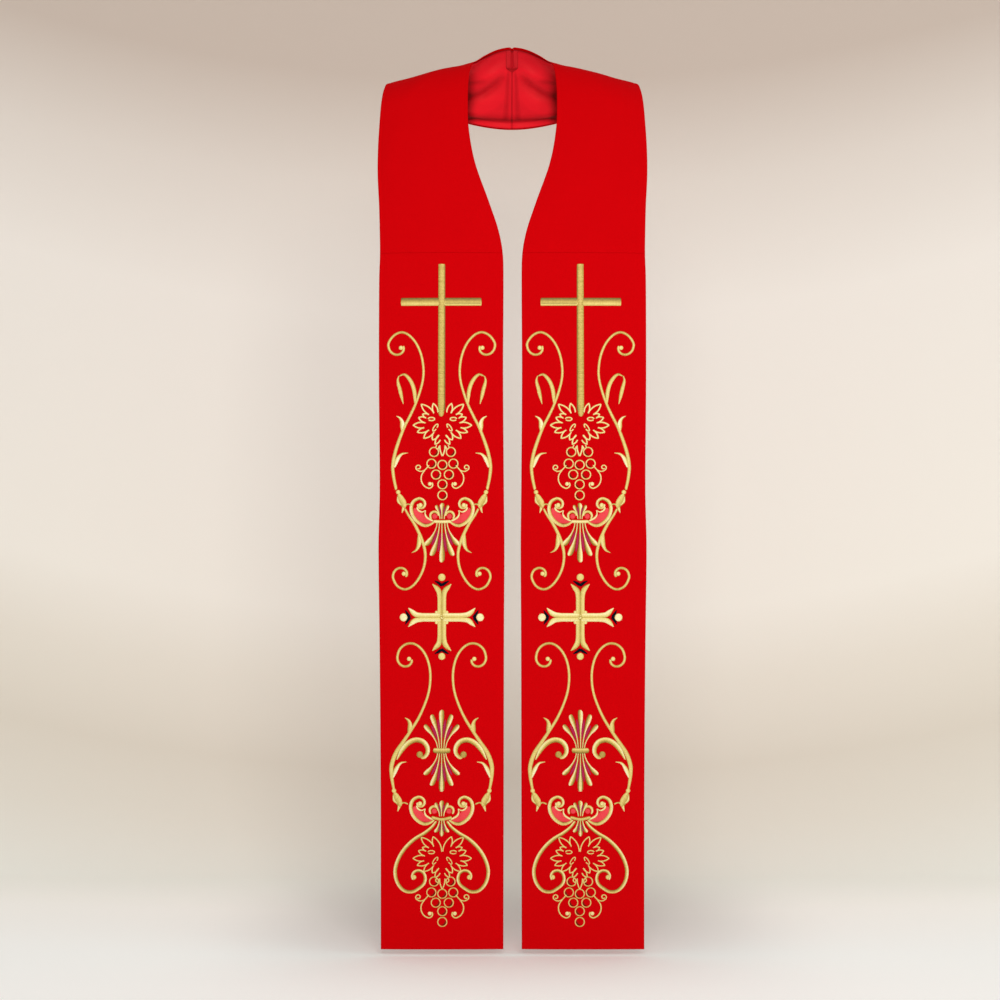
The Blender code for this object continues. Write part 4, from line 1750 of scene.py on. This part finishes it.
@dataclass(frozen=True)
class ThreadFinish:
    """The finish of one kind of embroidery thread, as colours from its dark to its light tones."""

    name: str
    tones: tuple[tuple[float, Colour], ...]
    metallic: float
    roughness: float
    specular: float = 0.5
    per_metre: float = 2600.0
    # How much fine waves along the run paint light and shade on its strands.
    strand: float = 0.05
    grain: float = 0.22
    grain_scale: float = 900.0

    def material(self) -> bpy.types.Material:
        """Build the material: the colour follows the tone, and painted light and shade in fine waves make
        its strands.

        Returns:
            The material.
        """
        made, nodes = new_material(self.name)
        chart = nodes.chart()
        along = nodes.add("ShaderNodeSeparateXYZ", {0: chart}).outputs["Y"]
        strand = nodes.math("SINE", nodes.math("MULTIPLY", along, self.per_metre * math.tau))
        noise = nodes.add("ShaderNodeTexNoise", {"Vector": chart, "Scale": self.grain_scale, "Detail": 2.0})
        grain = nodes.math("MULTIPLY", nodes.math("SUBTRACT", noise.outputs["Fac"], 0.5), self.grain)
        varied = nodes.math("ADD", nodes.written("tone"), grain)
        lit = nodes.math("ADD", varied, nodes.math("MULTIPLY", strand, self.strand))
        nodes.shade({
            "Base Color": nodes.ramp(lit, self.tones),
            "Metallic": self.metallic,
            "Roughness": self.roughness,
            "Specular IOR Level": self.specular,
        })
        return made


OUTER_FINISH = ClothFinish("red outer cloth", (0.60, 0.0008, 0.0030), (0.44, 0.0004, 0.0014), roughness=0.9,
                           specular=0.03, threads=1500.0, bump=0.35, mottle=0.16)
SATIN_FINISH = ClothFinish("red satin", (0.88, 0.014, 0.028), (0.15, 0.0006, 0.002), roughness=0.42,
                           specular=0.16, threads=3200.0, bump=0.12, mottle=0.06, rim=0.3)
TAPE_FINISH = ClothFinish("rose tape", (0.60, 0.012, 0.022), (0.30, 0.002, 0.005), roughness=0.45,
                          specular=0.2, threads=2600.0, bump=0.2, mottle=0.12, rim=0.3)
THREAD_FINISHES = (
    ThreadFinish("gold thread", ((0.0, (0.120, 0.078, 0.008)), (0.25, (0.290, 0.190, 0.018)),
                                 (0.5, (0.545, 0.395, 0.080)), (0.75, (0.775, 0.640, 0.205)),
                                 (1.0, (0.900, 0.860, 0.540))), metallic=0.15, roughness=0.5),
    ThreadFinish("pink thread", ((0.0, (0.55, 0.010, 0.024)), (0.6, (0.82, 0.060, 0.072)),
                                 (1.0, (0.88, 0.130, 0.120))), metallic=0.0, roughness=0.7, specular=0.15),
    ThreadFinish("plum thread", ((0.0, (0.20, 0.004, 0.040)), (0.6, (0.42, 0.012, 0.075)),
                                 (1.0, (0.66, 0.090, 0.220))), metallic=0.0, roughness=0.7, specular=0.15),
    ThreadFinish("navy thread", ((0.0, (0.0015, 0.0015, 0.004)), (1.0, (0.006, 0.007, 0.016))), metallic=0.0,
                 roughness=0.9, specular=0.02),
    ThreadFinish("shade thread", ((0.0, (0.10, 0.008, 0.003)), (1.0, (0.26, 0.030, 0.008))), metallic=0.0,
                 roughness=0.9, specular=0.05),
)


# ---------------------------------------------------------------- studio

class SoftLight(NamedTuple):
    """A rectangular soft light: where it stands, the point it faces, its size, power and colour."""

    name: str
    place: tuple[float, float, float]
    aim: tuple[float, float, float]
    size: tuple[float, float]
    watts: float
    colour: Colour

    def build(self) -> None:
        """Add the light to the scene."""
        lamp = bpy.data.lights.new(self.name, "AREA")
        lamp.shape = "RECTANGLE"
        lamp.size, lamp.size_y = self.size
        lamp.energy = self.watts
        lamp.color = self.colour
        stand = bpy.data.objects.new(self.name, lamp)
        stand.location = self.place
        stand.rotation_euler = (Vector(self.aim) - Vector(self.place)).to_track_quat("-Z", "Y").to_euler()
        bpy.context.scene.collection.objects.link(stand)


LIGHTS = (
    SoftLight("front light", (0.2, -3.3, 0.6), (0.0, 0.0, -0.15), (1.3, 1.0), 51.0, (1.0, 0.97, 0.93)),
    SoftLight("side light", (2.6, -1.6, -0.1), (0.0, 0.0, -0.5), (1.6, 2.0), 10.0, (1.0, 0.97, 0.94)),
    SoftLight("back light", (0.3, 3.2, 0.6), (0.0, 0.0, -0.5), (2.2, 2.0), 13.0, (1.0, 0.98, 0.95)),
)


@dataclass(frozen=True)
class Backdrop:
    """A floor that curves up into a background sheet, in metres, and its paper with painted light and shade.
    """

    floor_drop: float = 0.008
    sheet_behind: float = 0.8
    cove: float = 0.3
    cove_steps: int = 25
    columns: int = 9
    half_width: float = 3.0
    front_reach: float = 3.0
    sheet_height: float = 2.2
    # Painted light: the paper glows a little in its own colour.
    glow: float = 0.17
    # Painted light and shade on the paper: pale on the floor, a darker band low on the sheet, lighter above
    # it and darker towards the top, the bands bent at the sides.
    tone_span: tuple[float, float] = (-1.4, 1.2)
    tone_bend: float = 0.18
    tones: tuple[tuple[float, Colour], ...] = (
        (0.04, (0.872, 0.888, 0.882)), (0.18, (0.880, 0.880, 0.852)), (0.292, (0.794, 0.803, 0.757)),
        (0.40, (0.700, 0.670, 0.600)), (0.466, (0.650, 0.606, 0.530)), (0.53, (0.720, 0.680, 0.610)),
        (0.58, (0.791, 0.761, 0.704)), (0.774, (0.762, 0.725, 0.680)), (0.858, (0.658, 0.604, 0.554)),
        (0.929, (0.515, 0.440, 0.385)))
    # A soft pool of painted shadow round the stole's foot.
    pool_middle: float = -0.95
    pool_reach: float = 0.42
    pool_half_width: float = 0.33
    pool_depth: float = 0.38
    pool_colour: Colour = (0.03, 0.02, 0.01)

    def build(self) -> None:
        """Build the sheet, which can be seen through from behind.

        Its section is a straight floor, a quarter circle and a straight rise, carried across as a grid.
        """
        low = CAD_BOX[0].z - self.floor_drop
        turn = np.linspace(0, np.pi / 2, self.cove_steps)
        back = CAD_BOX[1].y + self.sheet_behind
        curved = np.stack([back - self.cove + self.cove * np.sin(turn),
                           low + self.cove * (1 - np.cos(turn))], axis=1)
        section = np.concatenate([[(-self.front_reach, low)], curved, [(back, low + self.sheet_height)]])
        across = np.linspace(-self.half_width, self.half_width, self.columns)
        spread = np.broadcast_to(across[None, :, None], (len(section), self.columns, 1))
        carried = np.broadcast_to(section[:, None], (len(section), self.columns, 2))
        points = np.concatenate([spread, carried], axis=-1).reshape(-1, 3)
        index = np.arange(len(points)).reshape(-1, self.columns)
        corners = [index[:-1, :-1], index[:-1, 1:], index[1:, 1:], index[1:, :-1]]
        faces = np.stack(corners, axis=-1).reshape(-1, 4)
        sheet = MeshData(points / MM, faces, points[:, :2]).build("studio_sheet", [self.paper()])

    def paper(self) -> bpy.types.Material:
        """Make the sheet's matt paper with painted light and shade, clear from its back.

        Its painted light and shade follow depth plus height, bent at the sides by the square of x. A soft
        pool of painted shadow lies round the stole's foot, a bell curve of the same sum times a flatter bell
        curve of x.

        Returns:
            The material.
        """
        made, nodes = new_material("studio paper")
        place = nodes.add("ShaderNodeSeparateXYZ", {0: nodes.add("ShaderNodeTexCoord").outputs["Object"]})
        aside = nodes.math("MULTIPLY", nodes.math("POWER", place.outputs["X"], 2.0), self.tone_bend)
        along = nodes.math("SUBTRACT", nodes.math("ADD", place.outputs["Y"], place.outputs["Z"]), aside)
        share = nodes.add("ShaderNodeMapRange", {"Value": along, "From Min": self.tone_span[0],
                                                 "From Max": self.tone_span[1]}).outputs[0]
        away = nodes.math("DIVIDE", nodes.math("SUBTRACT", along, self.pool_middle), self.pool_reach)
        beside = nodes.math("DIVIDE", place.outputs["X"], self.pool_half_width)
        both_powers = nodes.math("ADD", nodes.math("POWER", away, 2.0), nodes.math("POWER", beside, 4.0))
        pool = nodes.math("EXPONENT", nodes.math("MULTIPLY", both_powers, -1.0))
        colour = nodes.mixed(nodes.math("MULTIPLY", pool, self.pool_depth), nodes.ramp(share, self.tones),
                             (*self.pool_colour, 1.0))
        # The paper's colour also glows a little: painted light.
        nodes.shade({"Base Color": colour, "Emission Color": colour, "Emission Strength": self.glow,
                     "Roughness": 0.95, "Specular IOR Level": 0.0})
        paper = made.node_tree.nodes["Principled BSDF"].outputs[0]
        clear = nodes.add("ShaderNodeBsdfTransparent").outputs[0]
        behind = nodes.add("ShaderNodeNewGeometry").outputs["Backfacing"]
        either = nodes.add("ShaderNodeMixShader", {0: behind, 1: paper, 2: clear}).outputs[0]
        nodes.give(made.node_tree.nodes["Material Output"], {"Surface": either})
        return made


@dataclass(frozen=True)
class Studio:
    """The backdrop, the lights, the pale room round them and the camera."""

    camera_place: tuple[float, float, float] = (-0.0164, -3.61, -0.5884)
    lens: float = 96.47
    sensor_width: float = 36.0
    clip: tuple[float, float] = (0.1, 40.0)
    room_colour: Colour = (1.0, 0.965, 0.92)
    room_strength: float = 0.55

    def room(self) -> None:
        """Light the whole scene weakly from all round."""
        world = bpy.data.worlds.new("room")
        world.use_nodes = True
        Nodes(world.node_tree).give(world.node_tree.nodes["Background"], {
            "Color": (*self.room_colour, 1.0), "Strength": self.room_strength})
        bpy.context.scene.world = world

    def camera(self) -> None:
        """Set up the camera, level and facing the fronts."""
        eye = bpy.data.cameras.new("camera")
        eye.lens = self.lens
        eye.sensor_width = self.sensor_width
        eye.clip_start, eye.clip_end = self.clip
        stand = bpy.data.objects.new("camera", eye)
        stand.location = self.camera_place
        stand.rotation_euler = (math.pi / 2, 0.0, 0.0)
        bpy.context.scene.collection.objects.link(stand)
        bpy.context.scene.camera = stand

    def build(self) -> None:
        """Set up everything and keep the tones as they are."""
        Backdrop().build()
        for light in LIGHTS:
            light.build()
        self.room()
        self.camera()
        bpy.context.scene.view_settings.view_transform = "Standard"
        bpy.context.scene.view_settings.look = "None"


# ---------------------------------------------------------------- the whole stole

@dataclass
class Stole:
    """The whole garment: both halves' cloth, linings and embroidery, and the hanger loop."""

    front_pitch: float = 3.5
    neck_pitch: float = 2.6
    lining_pitch: float = 4.4

    def finish_piece(self, piece: bpy.types.Object, slot: str, *nodes: str) -> None:
        """Tie a piece to the frame and report it.

        Args:
            piece: the piece.
            slot: a material slot's name; not used.
            nodes: the CAD nodes that it replaces.
        """
        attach(piece, "root")
        if nodes:
            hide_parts(*nodes)
        triangles = sum(len(face.vertices) - 2 for face in piece.data.polygons)
        LOG.info("%s: %d triangles", piece.name, triangles)

    def cloth(self, side: Side, outer: bpy.types.Material, satin: bpy.types.Material) -> Lining:
        """Build one half's neck piece, front panel and lining, and measure their cuts.

        Args:
            side: which half.
            outer: the outer cloth's material.
            satin: the lining's material.

        Returns:
            The lining, on which the hanger loop is laid.
        """
        seam, hem = FORM.seam_length, FORM.hem_length
        neck = OuterCloth(f"neck_piece_{side.hand}_cloth", side, 0.0, seam, self.neck_pitch)
        front = OuterCloth(f"front_panel_{side.hand}_cloth", side, seam, hem, self.front_pitch)
        lining = Lining(f"lining_{side.hand}_satin", side, 0.0, hem - LINING_SET_IN, self.lining_pitch)
        for shell, material, slot, held in ((neck, outer, "outer_cloth", "draped"),
                                            (front, outer, "outer_cloth", "hung"),
                                            (lining, satin, "lining", "draped")):
            piece = shell.data().build(shell.name, [material])
            self.finish_piece(piece, slot, shell.name.rsplit("_", 1)[0])
            cut, area = shell.cut()
        return lining

    def build(self) -> None:
        """Build every piece."""
        weave = weave_group()
        outer, satin, tape = (finish.material(weave) for finish in (OUTER_FINISH, SATIN_FINISH, TAPE_FINISH))
        threads = [finish.material() for finish in THREAD_FINISHES]
        for side in Side:
            lining = self.cloth(side, outer, satin)
            if side is Side.LEFT:
                loop = HangerLoop()
                self.finish_piece(loop.data(lining).build(loop.name, [tape]), "loop", "hanger_loop")
            embroidery = Embroidery(side)
            for motif in embroidery.motifs():
                piece = embroidery.laid(motif).build(f"{motif.name}_{side.hand}", threads)
                self.finish_piece(piece, "embroidery")


def main() -> None:
    """Build the studio and the stole."""
    logging.basicConfig(level=logging.INFO, format="%(message)s")
    Studio().build()
    Stole().build()


if __name__ == "__main__":
    main()
